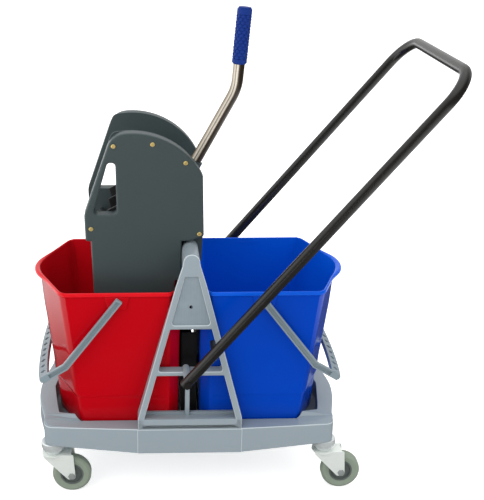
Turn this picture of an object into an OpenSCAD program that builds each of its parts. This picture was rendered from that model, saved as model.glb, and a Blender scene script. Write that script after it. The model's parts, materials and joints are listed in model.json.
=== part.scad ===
/* [Base tray] */
// Half length of the tray, to the middle of its bowed ends
base_half_l = 295; // [292:1:320]
// How far the ends bow out past the corners
base_bow = 18; // [10:1:24]
// Half width of the tray at its corners
base_half_w = 142; // [138:1:150]
// Radius of the tray's corners
base_corner_r = 18; // [8:1:22]
// Height of the tray's top over the floor
deck_z = 150; // [144:1:160]
// Height of the tray's skirt
skirt_h = 52; // [44:1:60]
// How much the skirt rises towards the ends
skirt_rise = 13; // [4:1:15]
// Wall of the tray
base_wall = 4; // [3:0.5:6]
// Depth of the seat that each bucket stands in
seat_d = 24; // [16:1:28]
// Height of the rims round the ends of the seats
end_rim_h = 12; // [8:1:16]
// Width of the rib under the middle of the tray
rib_w = 40; // [20:1:60]

/* [A frames] */
// Half width of an A frame's foot
foot_half = 98; // [90:1:104]
// Height of the foot
foot_h = 21; // [16:1:28]
// Height of the top of the A frame over the floor
frame_top = 501; // [490:1:520]
// Half width of the A frame's round head
head_half = 15; // [12:0.5:18]
// Height of the cross bar between the A frames' heads
bar_h = 40; // [36:1:44]
// Height over the floor where the legs meet the neck
neck_z = 440; // [432:1:448]
// Half width of the A frame at the neck
neck_half = 28; // [26:1:34]
// Width of a leg's front
leg_w = 11.5; // [8:0.5:15]
// Thickness of the A frame above the buckets' rims
frame_t = 7.5; // [6:0.5:12]
// Height of a rung
rung_h = 8; // [6:0.5:12]
// Height of the upper rung over the floor
upper_rung_z = 356; // [346:1:362]
// Height of the lower rung over the floor
lower_rung_z = 262; // [252:1:272]
// Depth of the sunken panel under the head
panel_d = 3.5; // [1:0.5:5]
// Diameter of the hole in the panel
panel_hole_d = 7; // [4:0.5:10]
// Diameter of the bolts that hold the A frames to the tray
frame_bolt_d = 6; // [5:0.5:8]

/* [Buckets] */
// Height of the rims over the floor
rim_z = 425; // [415:1:432]
// Half width of a bucket at its rim
rim_half_w = 148.5; // [144:0.5:154]
// Half width of a bucket at its foot
foot_half_w = 116.5; // [110:0.5:120]
// Height of the rim's band
rim_band_h = 8; // [5:0.5:12]
// How far the band stands out of the wall
rim_band_t = 2.2; // [1.5:0.1:4]
// Wall of a bucket
bucket_wall = 3; // [2:0.25:4]
// Distance from the middle of the trolley to a foot's inner end
foot_inner_x = 20.5; // [19:0.5:30]
// Reach of the pouring lip from the middle of the trolley
lip_x = 293; // [286:1:294]
// Reach of the foot's end from the middle of the trolley
foot_tip_x = 257; // [250:1:260]
// Distance from the middle to the corners of the long sides, at the rim
rim_corner_x = 228; // [220:1:234]
// Distance from the middle to the corners of the long sides, at the foot
foot_corner_x = 201; // [194:1:206]
// Size of the bevel on the inner corners
inner_bevel = 20; // [12:1:24]
// Height of the crease round the foot
crease_z = 204; // [190:1:220]
// How much the foot is set in under the crease
crease_in = 3; // [1:0.25:4]

/* [Bails] */
// Distance from the middle of the trolley to a bail's pivot
bail_x = 133.5; // [120:0.5:145]
// Depth of the pivot below the rim
bail_drop = 17.5; // [14:0.5:22]
// Length of a bail's arm from the pivot to the bend
bail_arm_l = 159; // [150:1:165]
// How far the arm hangs below level, in degrees
bail_arm_a = 52.4; // [48:0.2:60]
// Length of the arm past the bend
bail_tip_l = 52.5; // [45:0.5:56]
// How far the arm's end hangs below level, in degrees
bail_tip_a = 31; // [25:0.5:40]
// Width of an arm
bail_w = 13; // [10:0.5:16]
// Thickness of an arm
bail_t = 7; // [6:0.5:8]
// Width of the grip between the arms
grip_w = 19.5; // [17:0.5:22]
// How far the middle of the grip bows out
grip_bow = 11; // [4:0.5:14]
// Diameter of a bail's pins
bail_pin_d = 8; // [6:0.5:9]

/* [Wringer] */
// Half width of the wringer over its covers
wringer_half_w = 96.5; // [90:0.5:104]
// Depth of a cover
cover_d = 22.5; // [16:0.5:28]
// Wall of a cover
cover_wall = 3; // [2:0.25:4]
// Thickness of an inner panel
panel_t = 3; // [2:0.25:4]
// Radius of the cover's round top
cover_r = 141; // [136:1:146]
// Height of the top of the covers over the floor
cover_top = 706; // [698:1:716]
// Height of the bottom of the covers' legs over the floor
leg_bottom_z = 300; // [280:5:320]
// Thickness of the press grid
grid_t = 4; // [3:0.5:6]
// Thickness of the moving jaw
jaw_t = 8; // [6:0.5:10]
// Diameter of the jaw's hinge rod
hinge_rod_d = 10; // [8:0.5:12]
// Diameter of the cover screws' heads
cover_screw_d = 8; // [6:0.5:10]

/* [Lever] */
// Distance of the lever's shaft left of the middle of the trolley
shaft_left = 10.5; // [8:0.5:14]
// Height of the lever's shaft over the floor
shaft_z = 586; // [582:1:592]
// Diameter of the shaft
shaft_d = 16; // [12:0.5:18]
// Diameter of the lever's tube
lever_d = 21; // [18:0.5:23]
// Wall of the lever's tube
lever_wall = 2; // [1.5:0.25:3]
// Lean of the lower part of the lever from upright, in degrees
lever_lean = 28.5; // [24:0.5:32]
// Lean of the grip from upright, in degrees
lever_grip_lean = 4.5; // [0:0.5:10]
// Length from the shaft to the lever's bend
lever_bend_l = 203.6; // [190:0.2:215]
// Length from the bend to the top of the tube
lever_top_l = 143; // [130:1:155]
// Radius of the lever's bend
lever_bend_r = 85; // [60:1:95]
// Diameter of the grip
lever_grip_d = 27; // [25:0.5:31]
// Length of the grip
lever_grip_l = 98; // [90:1:108]
// Length of the arms that carry the press rollers
arm_l = 55; // [50:1:58]
// Diameter of the press rollers
roller_d = 16; // [14:0.5:17]

/* [Push handle] */
// Gap between an A frame's face and the handle's bar
handle_off = 33; // [30:0.5:42]
// Diameter of the handle's tube
handle_d = 20; // [18:0.5:22]
// Wall of the handle's tube
handle_wall = 1.5; // [1:0.25:3]
// Distance of the handle's pivot left of the middle of the trolley
pivot_left = 8; // [5:0.5:12]
// Length from the pivot to the middle of the cross tube
handle_l = 719; // [690:1:735]
// Lean of the handle from upright, in degrees
handle_lean = 39.9; // [38:0.1:41]
// Radius of the handle's corners
handle_bend_r = 60; // [40:1:80]
// Height of the pivot over the middle of the lower rung
pivot_up = 5.3; // [0:0.1:7]
// Diameter of the pivot bolts
pivot_d = 8; // [6:0.5:10]
// Diameter of the stop pegs
peg_d = 10; // [8:0.5:12]

/* [Casters] */
// Distance from the middle of the trolley to a caster's swivel
caster_x = 262; // [254:1:264]
// Distance from the long middle line to a caster's swivel
caster_y = 120; // [112:1:122]
// Diameter of a wheel
wheel_d = 75; // [70:1:80]
// Width of a wheel
wheel_w = 24; // [20:1:28]
// How far a wheel trails its swivel
trail = 35; // [28:1:38]
// Thickness of the tyre
tyre_t = 15; // [12:0.5:17]
// Diameter of an axle
axle_d = 8; // [6:0.5:10]
// Thickness of the fork's sheet
fork_t = 2.5; // [2:0.25:3.5]
// Diameter of the fork's top
fork_top_d = 44; // [38:1:46]
// Height of the race cup between fork and tray
cup_h = 14; // [11:0.5:15]

/* [Clearances] */
// Play of a running fit, on the radius
run_gap = 0.05; // [0.03:0.01:0.09]
// Gap between pieces that move past each other
part_gap = 0.3; // [0.3:0.1:0.5]
// Gap between a bucket's rim and the A frames
rim_gap = 0.5; // [0.4:0.1:1.5]
// Gap between a bucket's inner end and the cross bar, as the bucket is lifted past it
bar_gap = 0.8; // [0.6:0.1:3]
// Gap between a bucket's foot and the edge of its seat
seat_gap = 1.5; // [1:0.25:2.5]

/* [Hidden] */
$fn = 48;
corners = [
    ["near_left", -1, -1, 0],
    ["near_right", 1, -1, 0],
    ["far_left", -1, 1, 0],
    ["far_right", 1, 1, 180]];
eps = 0.01;

// Where the pieces meet
skirt_z = deck_z - skirt_h;
base_end = base_half_l - base_bow;
seat_z = deck_z - seat_d;
floor_under = seat_z - base_wall;
frame_back = rim_half_w + rim_gap;
frame_face = frame_back + frame_t;
bucket_z = seat_z + part_gap;
rim_inner_x = head_half + bar_gap;
wall_rim_half = rim_half_w - rim_band_t;
head_z = frame_top - head_half;
bar_foot = frame_top - bar_h;
leg_slope = (foot_half - neck_half) / (neck_z - deck_z - foot_h);
leg_span = leg_w * sqrt(1 + leg_slope * leg_slope);
pivot_z = lower_rung_z + rung_h / 2 + pivot_up;
pivot = [-pivot_left, pivot_z];
shaft = [-shaft_left, shaft_z];
bail_z = rim_z - bail_drop;
pad_half = 16;
pad_flare = 6;
pad_h = 25;
pad_face = rim_half_w - 0.2;
arm_in = rim_half_w + 0.6;
handle_half_w = frame_face + handle_off + handle_d / 2;
handle_in = frame_face + handle_off;
panel_out = wringer_half_w - cover_d;
panel_in = panel_out - panel_t;
wheel_r = wheel_d / 2;
hub_r = wheel_r - tyre_t;
cheek_in = wheel_w / 2 + 2;
cheek_out = cheek_in + fork_t;
fork_top_z = skirt_z - cup_h - part_gap;
home_x = (base_half_l - handle_reach()) / 2;

// Reach of the handle's cross tube
function handle_reach() = -pivot_left + handle_l * sin(handle_lean) + handle_d / 2;
// Half width of the A frame's outer edge at height z
function leg_out(z) = foot_half - (z - deck_z - foot_h) * leg_slope;
// Half width of the A frame's windows at height z
function leg_in(z) = leg_out(z) - leg_span;
function unit(v) = v / norm(v);
function flip(pts) = [for (i = [len(pts) - 1:-1:0]) pts[i]];
function mirror_x(pts) = [for (p = flip(pts)) [-p.x, p.y]];
function arc(c, r, a0, a1, n) = [for (i = [0:n]) c + r * [cos(a0 + (a1 - a0) * i / n), sin(a0 + (a1 - a0) * i / n)]];

// Points of a corner at b, rounded with radius r
function corner_arc(a, b, c, r, n) =
    let (u = unit(a - b), v = unit(c - b), half = acos(u * v) / 2)
    let (o = b + unit(u + v) * r / sin(half), p = b + u * r / tan(half), q = b + v * r / tan(half))
    let (a0 = atan2(p.y - o.y, p.x - o.x), turn = atan2(q.y - o.y, q.x - o.x) - a0)
    arc(o, r, a0, a0 + (turn > 180 ? turn - 360 : turn < -180 ? turn + 360 : turn), n);

// Outline through points [x, y, r], with each corner rounded by its r
function rounded(pts, n = 5) = [
    for (i = [0:len(pts) - 1])
        let (k = len(pts), a = pts[(i + k - 1) % k], b = pts[i], c = pts[(i + 1) % k])
        each b.z > 0
            ? corner_arc([a.x, a.y], [b.x, b.y], [c.x, c.y], b.z, n)
            : [[b.x, b.y]]];

// Outline set in by d; its points run anticlockwise
function inset(pts, d) = [
    for (i = [0:len(pts) - 1])
        let (k = len(pts), u = unit(pts[i] - pts[(i + k - 1) % k]), v = unit(pts[(i + 1) % k] - pts[i]))
        let (m = [-u.y, u.x], n = [-v.y, v.x])
        pts[i] + (m + n) * d / (1 + m * n)];

// Strip of half width h along a bent line
function strip_side(path, h) = [
    for (i = [0:len(path) - 1])
        let (u = unit(path[max(i, 1)] - path[max(i, 1) - 1]))
        let (v = i == len(path) - 1 ? u : unit(path[i + 1] - path[i]))
        let (m = [-u.y, u.x], n = [-v.y, v.x])
        path[i] + (m + n) * h / (1 + m * n)];
function strip(path, h) = concat(strip_side(path, h), flip(strip_side(path, -h)));

// A profile in X and Z, pushed along Y
module along_y(y0, y1) {
    translate([0, y1, 0]) rotate([90, 0, 0]) linear_extrude(y1 - y0) children();
}

// A profile in Y and Z, pushed along X
module along_x(x0, x1) {
    translate([x0, 0, 0]) rotate([90, 0, 90]) linear_extrude(x1 - x0) children();
}

// A round rod along Y at a point in X and Z
module rod_y(at, r, y0, y1) {
    translate([at.x, y1, at.y]) rotate([90, 0, 0]) cylinder(r = r, h = y1 - y0);
}

module mirrored_y() {
    children();
    mirror([0, 1, 0]) children();
}

module mirrored_x() {
    children();
    mirror([1, 0, 0]) children();
}

// Closed solid through rings of points, each ring with the same count
module loft(rings) {
    n = len(rings[0]);
    last = len(rings) - 1;
    sides = [
        for (k = [0:last - 1], i = [0:n - 1])
            let (a = k * n + i, b = k * n + (i + 1) % n)
            each [[a, a + n, b], [b, a + n, b + n]]];
    caps = [
        [for (i = [0:n - 1]) i],
        [for (i = [n - 1:-1:0]) last * n + i]];
    polyhedron([for (r = rings) each r], concat(sides, caps), convexity = 6);
}

// Moves the middle of the trolley so that the whole part is centred
module at_home() {
    translate([home_x, 0, 0]) children();
}

// Base tray, with guides that keep the buckets apart
face_step = 1.2;
guide_half = head_half;
guide_t = 6;
guide_y = 92;
guide_h = 172;
end_bow_half = base_half_w - base_corner_r - 12;
end_bow = [
    for (i = [0:10])
        let (y = -end_bow_half + 2 * end_bow_half * i / 10)
        [base_end + base_bow * pow(cos(90 * y / end_bow_half), 1.3), y, 0]];
tray_side = concat(
    [[foot_half, -frame_face, 0], [foot_half + face_step, face_step - frame_face, 0]],
    [[base_end, -base_half_w, base_corner_r]],
    end_bow,
    [[base_end, base_half_w, base_corner_r]],
    [[foot_half + face_step, frame_face - face_step, 0], [foot_half, frame_face, 0]]);
tray_outline = rounded(concat(tray_side, [for (p = tray_side) [-p.x, -p.y, p.z]]));
frame_bolt_at = [foot_half - 18, (frame_face + seat_half_w()) / 2];
bolt_head_h = 4;
seat_end = foot_tip_x + 7;
rim_start = foot_corner_x + 5;

// Half width of a bucket's seat at the tray's top
function seat_half_w() = wall_half(deck_z) + seat_gap;

// Outer end of a seat, squarer than the bucket's bowed end
seat_end_half = [
    [foot_inner_x + inner_bevel + 30, -seat_half_w()],
    [rim_start + 6, -seat_half_w()],
    [rim_start + 13, -seat_half_w() + 7],
    [seat_end - 15, -seat_half_w() + 13],
    [seat_end - 9, -seat_half_w() * 0.58],
    [seat_end, 0]];
seat_end_outline = concat(seat_end_half, [for (p = flip(seat_end_half)) if (p.y < 0) [p.x, -p.y]]);

// Rim round the outer end of a seat, which falls away to the tray's sides and end
module end_rim() {
    top = deck_z + end_rim_h;
    side_top = [base_half_w + 1, deck_z + 1];
    shoulder = [base_half_w - 22, top];
    intersection() {
        translate([0, 0, deck_z - eps]) linear_extrude(end_rim_h + eps) polygon(inset(tray_outline, 1));
        along_y(-frame_face, frame_face) polygon([
            [rim_start, deck_z - 1],
            [rim_start + end_rim_h + 1, top],
            [seat_end, top],
            [base_half_l, deck_z + end_rim_h / 2],
            [base_half_l, deck_z - 1]]);
        along_x(0, base_half_l) polygon([
            [-side_top.x, deck_z - 1],
            [side_top.x, deck_z - 1],
            side_top,
            shoulder,
            [-shoulder.x, shoulder.y],
            [-side_top.x, side_top.y]]);
    }
}

module chassis() {
    boss_r = fork_top_d / 2 + 2;
    color([0.57, 0.62, 0.65]) difference() {
        union() {
            difference() {
                translate([0, 0, skirt_z]) linear_extrude(skirt_h) polygon(tray_outline);
                translate([0, 0, skirt_z - eps])
                    linear_extrude(floor_under - skirt_z + eps)
                        polygon(inset(tray_outline, base_wall));
                mirrored_x() along_y(-frame_face - 1, frame_face + 1)
                    polygon([
                        [foot_half, skirt_z - 1],
                        [base_half_l + 1, skirt_z - 1],
                        [base_half_l + 1, skirt_z + skirt_rise],
                        [foot_half, skirt_z]]);
            }
            for (c = corners)
                translate([c[1] * caster_x, c[2] * caster_y, skirt_z]) intersection() {
                    cylinder(r = boss_r, h = floor_under - skirt_z + eps);
                    translate([-c[1] * caster_x, -c[2] * caster_y, 0])
                        linear_extrude(skirt_h) polygon(inset(tray_outline, base_wall / 2));
                }
            translate([-rib_w / 2, -frame_face + base_wall / 2, skirt_z])
                cube([rib_w, 2 * frame_face - base_wall, floor_under - skirt_z + eps]);
            mirrored_x() end_rim();
            mirrored_y() translate([-guide_half, guide_y, deck_z - eps])
                cube([2 * guide_half, guide_t, guide_h + eps]);
        }
        mirrored_x() translate([0, 0, seat_z]) linear_extrude(seat_d + end_rim_h + 1) {
            polygon(inset(flat_ring(deck_z, 0), -seat_gap));
            polygon(seat_end_outline);
        }
        for (c = corners) {
            translate([c[1] * frame_bolt_at.x, c[2] * frame_bolt_at.y, floor_under - 1])
                cylinder(d = frame_bolt_d + 2 * run_gap, h = skirt_h);
            translate([c[1] * caster_x, c[2] * caster_y, skirt_z - 1])
                cylinder(d = kingpin_d + 2 * run_gap, h = kingpin_up + 1);
        }
    }
}

// A frames and the bar between them
shoulder_w = 1.7;
shoulder_h = 16;
leg_side = [
    [foot_half, deck_z],
    [foot_half, deck_z + foot_h],
    [neck_half, neck_z],
    [head_half + shoulder_w, bar_foot + shoulder_h]];
frame_outline = concat(leg_side, arc([0, head_z], head_half, 0, 180, 16), mirror_x(leg_side));
panel_bottom = upper_rung_z + rung_h;
panel_top = bar_foot - 3;
spigot_r = 8;
spigot_l = 5;
spigot_z = head_z - 2;
bar_wall = 3;
bar_end_t = 12;
boss_r = pivot_d / 2 + 2.2;
bolt_depth = 14;
tray_lip = 5;
post_w = 8.5;

// How far the A frame's back stands from the middle line at height z
function frame_back_at(z) = wall_half(z) + 1.2;

function window(z0, z1) = [
    [leg_in(z0), z0, 5],
    [leg_in(z1), z1, 3],
    [-leg_in(z1), z1, 3],
    [-leg_in(z0), z0, 5]];

module a_frame_form() {
    rim_step = rim_z - rim_band_h - 5;
    color([0.57, 0.62, 0.65]) difference() {
        union() {
            intersection() {
                along_y(-frame_face, -frame_back_at(deck_z)) difference() {
                    polygon(frame_outline);
                    polygon(rounded(window(lower_rung_z + rung_h, upper_rung_z), 4));
                    polygon(rounded(window(deck_z + foot_h, lower_rung_z), 4));
                }
                along_x(-foot_half - 1, foot_half + 1) polygon([
                    [-frame_face, deck_z],
                    [-frame_back_at(deck_z), deck_z],
                    [-frame_back_at(rim_step), rim_step],
                    [-frame_back, rim_step],
                    [-frame_back, frame_top + 1],
                    [-frame_face, frame_top + 1]]);
            }
            rod_y(pivot, boss_r, -frame_face, -frame_face + bolt_depth + 4);
            translate([-post_w, -frame_face + 24, deck_z + foot_h - tray_lip])
                cube([post_w, 8, lower_rung_z - deck_z - foot_h + tray_lip + 1]);
        }
        along_y(-frame_face - 1, -frame_face + panel_d) polygon(rounded([
            [leg_in(panel_bottom), panel_bottom, 3],
            [12, panel_top, 5],
            [-12, panel_top, 5],
            [-leg_in(panel_bottom), panel_bottom, 3]], 4));
        rod_y([0, (panel_bottom + panel_top) / 2 - 13], panel_hole_d / 2, -frame_face - 1, -frame_back + 30);
        mirrored_x() translate([post_w + 2, -frame_face + 6, deck_z + foot_h - tray_lip])
            cube([foot_half - leg_span - post_w - 6, frame_face - frame_back_at(deck_z) - 12, tray_lip + 1]);
        rod_y(pivot, pivot_d / 2 + run_gap, -frame_face - 1, -frame_face + bolt_depth + run_gap);
        rod_y([0, spigot_z], spigot_r + run_gap, -frame_back - spigot_l - run_gap, -frame_back + 1);
        mirrored_x() translate([frame_bolt_at.x, -frame_bolt_at.y, deck_z - 1])
            cylinder(d = frame_bolt_d + 2 * run_gap, h = foot_h - tray_lip - 3);
    }
}

module near_a_frame() {
    a_frame_form();
}

module far_a_frame() {
    mirror([0, 1, 0]) a_frame_form();
}

// Section of the cross bar down to height z, grown by g
function bar_section(g, z) = concat(
    [[head_half + g, z]],
    arc([0, head_z], head_half + g, 0, 180, 16),
    [[-head_half - g, z]]);

module cross_bar() {
    color([0.57, 0.62, 0.65]) {
        difference() {
            along_y(-frame_back, frame_back) polygon(bar_section(0, bar_foot));
            along_y(-frame_back + bar_end_t, frame_back - bar_end_t)
                polygon(bar_section(-bar_wall, bar_foot - 1));
        }
        mirrored_y() rod_y([0, spigot_z], spigot_r, -frame_back - spigot_l, -frame_back + 1);
    }
}

module frame_bolts() {
    color([0.75, 0.76, 0.78]) for (c = corners)
        translate([c[1] * frame_bolt_at.x, c[2] * frame_bolt_at.y, floor_under - bolt_head_h]) {
            cylinder(d = 1.9 * frame_bolt_d, h = bolt_head_h, $fn = 6);
            cylinder(d = frame_bolt_d, h = deck_z + foot_h - tray_lip - 6 - floor_under + bolt_head_h);
        }
}

// Buckets: sizes at height z
// Reach of the outer end past its corners, as a share, over the share of the half width
end_form = [[0, 1], [0.12, 0.975], [0.276, 0.862], [0.424, 0.692], [0.646, 0.446], [0.922, 0.154], [1, 0]];
end_at = [-0.95, -0.9, -0.75, -0.6, -0.45, -0.3, -0.15, 0, 0.15, 0.3, 0.45, 0.6, 0.75, 0.9, 0.95];
function mix(a, b, t) = a + (b - a) * t;
function rise(z) = (z - bucket_z) / (rim_z - bucket_z);
function wall_half(z) = mix(foot_half_w, wall_rim_half, rise(z));
belly = [[0, 0], [0.375, 0.22], [0.665, 0.53], [0.918, 0.86], [1, 1]];
function wall_tip(z) = mix(foot_tip_x, lip_x - rim_band_t, lookup(rise(z), belly));

// Outline of a bucket's wall at height z, set in by d, in X and Y; crease sets in only the outer end more
function flat_ring(z, d, crease = 0) =
    let (w = wall_half(z), x0 = mix(foot_inner_x, rim_inner_x + rim_band_t, rise(z)))
    let (xc = mix(foot_corner_x, rim_corner_x, rise(z)), tip = wall_tip(z))
    let (pts = concat(
        [[x0, inner_bevel - w], [x0 + inner_bevel, -w], [xc, -w]],
        [for (t = end_at) [mix(xc, tip, lookup(abs(t), end_form)), t * w]],
        [[xc, w], [x0 + inner_bevel, w], [x0, w - inner_bevel]]))
    let (near = inset(pts, d), deep = inset(pts, d + crease))
    [for (i = [0:len(pts) - 1]) pts[i].x < xc ? near[i] : deep[i]];
function ring(z, d, crease = 0) = [for (p = flat_ring(z, d, crease)) [p.x, p.y, z]];

module bucket_form(shade) {
    band_z = rim_z - rim_band_h;
    mid = [crease_z + 34, crease_z + 121, rim_z - 24];
    rings = concat(
        [ring(bucket_z, 0, crease_in), ring(crease_z - 2, 0, crease_in), ring(crease_z + 2, 0)],
        [for (z = mid) ring(z, 0)],
        [ring(band_z, 0), ring(band_z, -rim_band_t), ring(rim_z, -rim_band_t), ring(rim_z, bucket_wall)],
        [for (i = [2:-1:0]) ring(mid[i], bucket_wall)],
        [ring(crease_z + 2, bucket_wall), ring(crease_z - 2, bucket_wall, crease_in)],
        [ring(bucket_z + bucket_wall, bucket_wall, crease_in)]);
    color(shade) difference() {
        union() {
            loft(rings);
            mirrored_y() along_y(-pad_face, -wall_half(band_z - pad_h) + 0.5) polygon([
                [bail_x - pad_half, band_z - pad_h],
                [bail_x + pad_half, band_z - pad_h],
                [bail_x + pad_half + pad_flare, band_z],
                [bail_x - pad_half - pad_flare, band_z]]);
        }
        mirrored_y() rod_y([bail_x, bail_z], bail_pin_d / 2 + run_gap, -pad_face - 1, -pad_face + 5);
    }
}

module blue_bucket() {
    bucket_form([0.03, 0.25, 0.75]);
}

module red_bucket() {
    rotate([0, 0, 180]) bucket_form([0.80, 0.06, 0.12]);
}

// Bails
bail_bend = [bail_x + bail_arm_l * cos(bail_arm_a), bail_z - bail_arm_l * sin(bail_arm_a)];
tip_dir = [cos(bail_tip_a), -sin(bail_tip_a)];
tip_up = [sin(bail_tip_a), cos(bail_tip_a)];
bail_tip = bail_bend + bail_tip_l * tip_dir;
bail_pivot = [bail_x, bail_z];
arm_dir = unit(bail_bend - bail_pivot);
arm_past = 7;
end_wall = 4;
bail_path = [bail_pivot - arm_past * arm_dir, bail_bend, bail_tip];
groove_path = [bail_path[0] + end_wall * arm_dir, bail_bend, bail_tip - end_wall * tip_dir];
grip_steps = 12;
grip_holes = 11;

// How far the grip is bowed out at y
function bow_at(y) = grip_bow * pow(max(cos(90 * y / (arm_in + bail_t)), 0), 0.7);

function grip_ring(y) = [
    for (s = [[-grip_w + 2, -1], [2, -1], [2, 1], [-grip_w + 2, 1]])
        let (p = bail_tip + tip_dir * (s.x + bow_at(y)) + tip_up * s.y * bail_t / 2)
        [p.x, y, p.y]];

module bail_form() {
    arm_out = arm_in + bail_t;
    groove_d = 4;
    color([0.60, 0.64, 0.67]) {
        mirrored_y() difference() {
            union() {
                along_y(-arm_out, -arm_in) polygon(strip(bail_path, bail_w / 2));
                rod_y(bail_pivot, bail_pin_d / 2, -arm_in - eps, -pad_face + 4.5);
            }
            along_y(-arm_out - 1, -arm_out + groove_d) polygon(strip(groove_path, bail_w / 2 - 3));
        }
        difference() {
            loft([for (i = [0:grip_steps]) grip_ring(arm_out * (1 - 2 * i / grip_steps))]);
            for (i = [0:grip_holes - 1]) {
                y = (i - (grip_holes - 1) / 2) * 2 * (arm_in - 12) / grip_holes;
                middle = bail_tip + tip_dir * (bow_at(y) + 2 - grip_w / 2);
                translate([middle.x, y, middle.y]) rotate([0, bail_tip_a, 0])
                    cylinder(r = grip_w / 2 - 4, h = 3 * bail_t, center = true, $fn = 4);
            }
        }
    }
}

module blue_bail() {
    bail_form();
}

module red_bail() {
    rotate([0, 0, 180]) bail_form();
}

// Wringer: outlines in X and Z
cover_c = [-105, cover_top - cover_r];
top_left = [-140, cover_top - 3];
bulge = [-191.5, 556];
notch_z = 506;
slot_top = frame_top + 4;
edge_x = 22;
edge_foot = [25, 514];
slot_left = head_half + 2 * part_gap;
leg_l = [-180.5, notch_z - 2];
leg_foot_l = [-174, leg_bottom_z];
leg_foot_r = [-32, leg_bottom_z];
leg_top_r = [-27, rim_z + 2];
cover_outline = rounded(concat(
    [[leg_foot_l.x, leg_foot_l.y, 12], [leg_foot_r.x, leg_foot_r.y, 12]],
    [[leg_top_r.x, leg_top_r.y, 0], [-slot_left, leg_top_r.y + 4, 0], [-slot_left, slot_top, 0]],
    [[-2, slot_top, 0], [edge_foot.x, edge_foot.y, 0]],
    [for (p = arc(cover_c, cover_r, acos((edge_x - cover_c.x) / cover_r), 97, 14)) [p.x, p.y, 0]],
    [[top_left.x, top_left.y, 14], [bulge.x, bulge.y, 24], [bulge.x + 1.5, notch_z, 4]],
    [[leg_l.x, notch_z, 0], [leg_l.x, leg_l.y, 0]]));
hand_hold = rounded([[-134, 652, 5], [-148, 652, 5], [-176, 556, 8], [-132.5, 556, 8]], 4);
screw_at = [[-137, 683], [-68, 686], [-9.4, 652], [-179.5, 530], [16.5, 519]];
hook_z = bar_foot - 4;
hook_x = head_half + 3;
hook_t = 4;
hook = [
    [leg_foot_r.x, hook_z, 0],
    [hook_x + hook_t, hook_z, 2],
    [edge_foot.x, edge_foot.y + 8, 0],
    [leg_foot_r.x, edge_foot.y + 8, 0]];
bush_wall = 4;
bush_flange_w = 3;
bush_flange_t = 2;
bush_r = shaft_d / 2 + bush_wall;
rod_at = [[-166, 512], [-60, 314], [-160, 330]];
rod_r = 5;
rod_end_r = 3;
boss_screw_r = 4.5;
screw_r = 2;
screw_end = panel_in + panel_t / 3;

module cover_form() {
    color([0.28, 0.32, 0.33]) difference() {
        union() {
            difference() {
                along_y(-wringer_half_w, -panel_out) polygon(cover_outline);
                along_y(-wringer_half_w + cover_wall, -panel_out + 1) polygon(inset(cover_outline, cover_wall));
            }
            along_y(-wringer_half_w + 1, -panel_out) polygon(inset(hand_hold, -2.5));
            for (p = screw_at)
                rod_y(p, boss_screw_r, -wringer_half_w + 1, -panel_out);
        }
        along_y(-wringer_half_w - 1, -panel_out + 1) polygon(hand_hold);
        for (p = screw_at)
            rod_y(p, screw_r + run_gap, -wringer_half_w - 1, -panel_out + 1);
    }
}

module near_cover() {
    cover_form();
}

module far_cover() {
    mirror([0, 1, 0]) cover_form();
}

module panel_form() {
    color([0.24, 0.28, 0.29]) difference() {
        along_y(-panel_out, -panel_in) {
            polygon(cover_outline);
            polygon(rounded(hook, 3));
        }
        along_y(-panel_out - 1, -panel_in + 1) polygon(bar_section(part_gap, hook_z - 1));
        along_y(-panel_out - 1, -panel_in + 1) polygon(hand_hold);
        rod_y(shaft, bush_r + run_gap, -panel_out - 1, -panel_in + 1);
        rod_y(hinge, hinge_rod_d / 2 + run_gap, -panel_out - 1, -panel_in + 1);
        for (p = rod_at)
            rod_y(p, rod_end_r + run_gap, -panel_out - 1, -panel_in + 1);
        for (p = screw_at)
            rod_y(p, screw_r + run_gap, -panel_out - 1, -screw_end);
    }
}

module near_panel() {
    panel_form();
}

module far_panel() {
    mirror([0, 1, 0]) panel_form();
}

module rear_hook_wall() {
    hook_top = edge_foot.y + 40;
    color([0.24, 0.28, 0.29]) along_y(-panel_in, panel_in) polygon(rounded([
        [hook_x, hook_z, 1],
        [hook_x + hook_t, hook_z, 1],
        [hook_x + hook_t, hook_top, 1.5],
        [hook_x, hook_top, 1.5]], 3));
}

// The press: a fixed grid and a jaw that swings towards it
grid_top = [-128, 600];
grid_foot = [-92, 338];
hinge = [-75, 345];
jaw_lean = 10.7;
jaw_l = 222;
slot_w = 9;
slot_rows = 5;
slot_cols = 6;
press_half = panel_in - part_gap;

// Slots of a press plate that stands on z = 0, with its face across X
module press_slots(height, thick) {
    pitch = 2 * (press_half - 10) / slot_cols;
    run = (height - 60) / slot_rows;
    for (i = [0:slot_cols - 1], k = [0:slot_rows - 1])
        translate([-thick, (i - (slot_cols - 1) / 2) * pitch - slot_w / 2, 34 + k * run])
            cube([2 * thick, slot_w, run - 10]);
}

module press_grid() {
    tilt = atan2(grid_top.x - grid_foot.x, grid_top.y - grid_foot.y);
    height = norm(grid_top - grid_foot);
    color([0.07, 0.07, 0.08]) translate([grid_foot.x, 0, grid_foot.y]) rotate([0, tilt, 0]) {
        difference() {
            translate([-grid_t / 2, -panel_in, 0]) cube([grid_t, 2 * panel_in, height]);
            press_slots(height, grid_t);
        }
        for (y = [-panel_in, -grid_t / 2, panel_in - grid_t])
            along_y(y, y + grid_t) polygon([
                [-grid_t / 2 + eps, 40],
                [-grid_t / 2 + eps, height - 30],
                [-28, height - 40]]);
    }
}

// Follower on the jaw's back, which the rollers push
follower_gap = 0.8;
follower_h = 34;
follower_w = 22;
arm_rest = 15;
roller_at = shaft + arm_l * [sin(arm_rest), -cos(arm_rest)];
roller_in_jaw = jaw_frame(roller_at);
follower_x = roller_in_jaw.x - roller_d / 2 - follower_gap;

// A point of X and Z in the jaw's own frame, with the hinge at its origin
function jaw_frame(p) = let (d = p - hinge) [
    d.x * cos(jaw_lean) - d.y * sin(jaw_lean),
    d.x * sin(jaw_lean) + d.y * cos(jaw_lean)];

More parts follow.
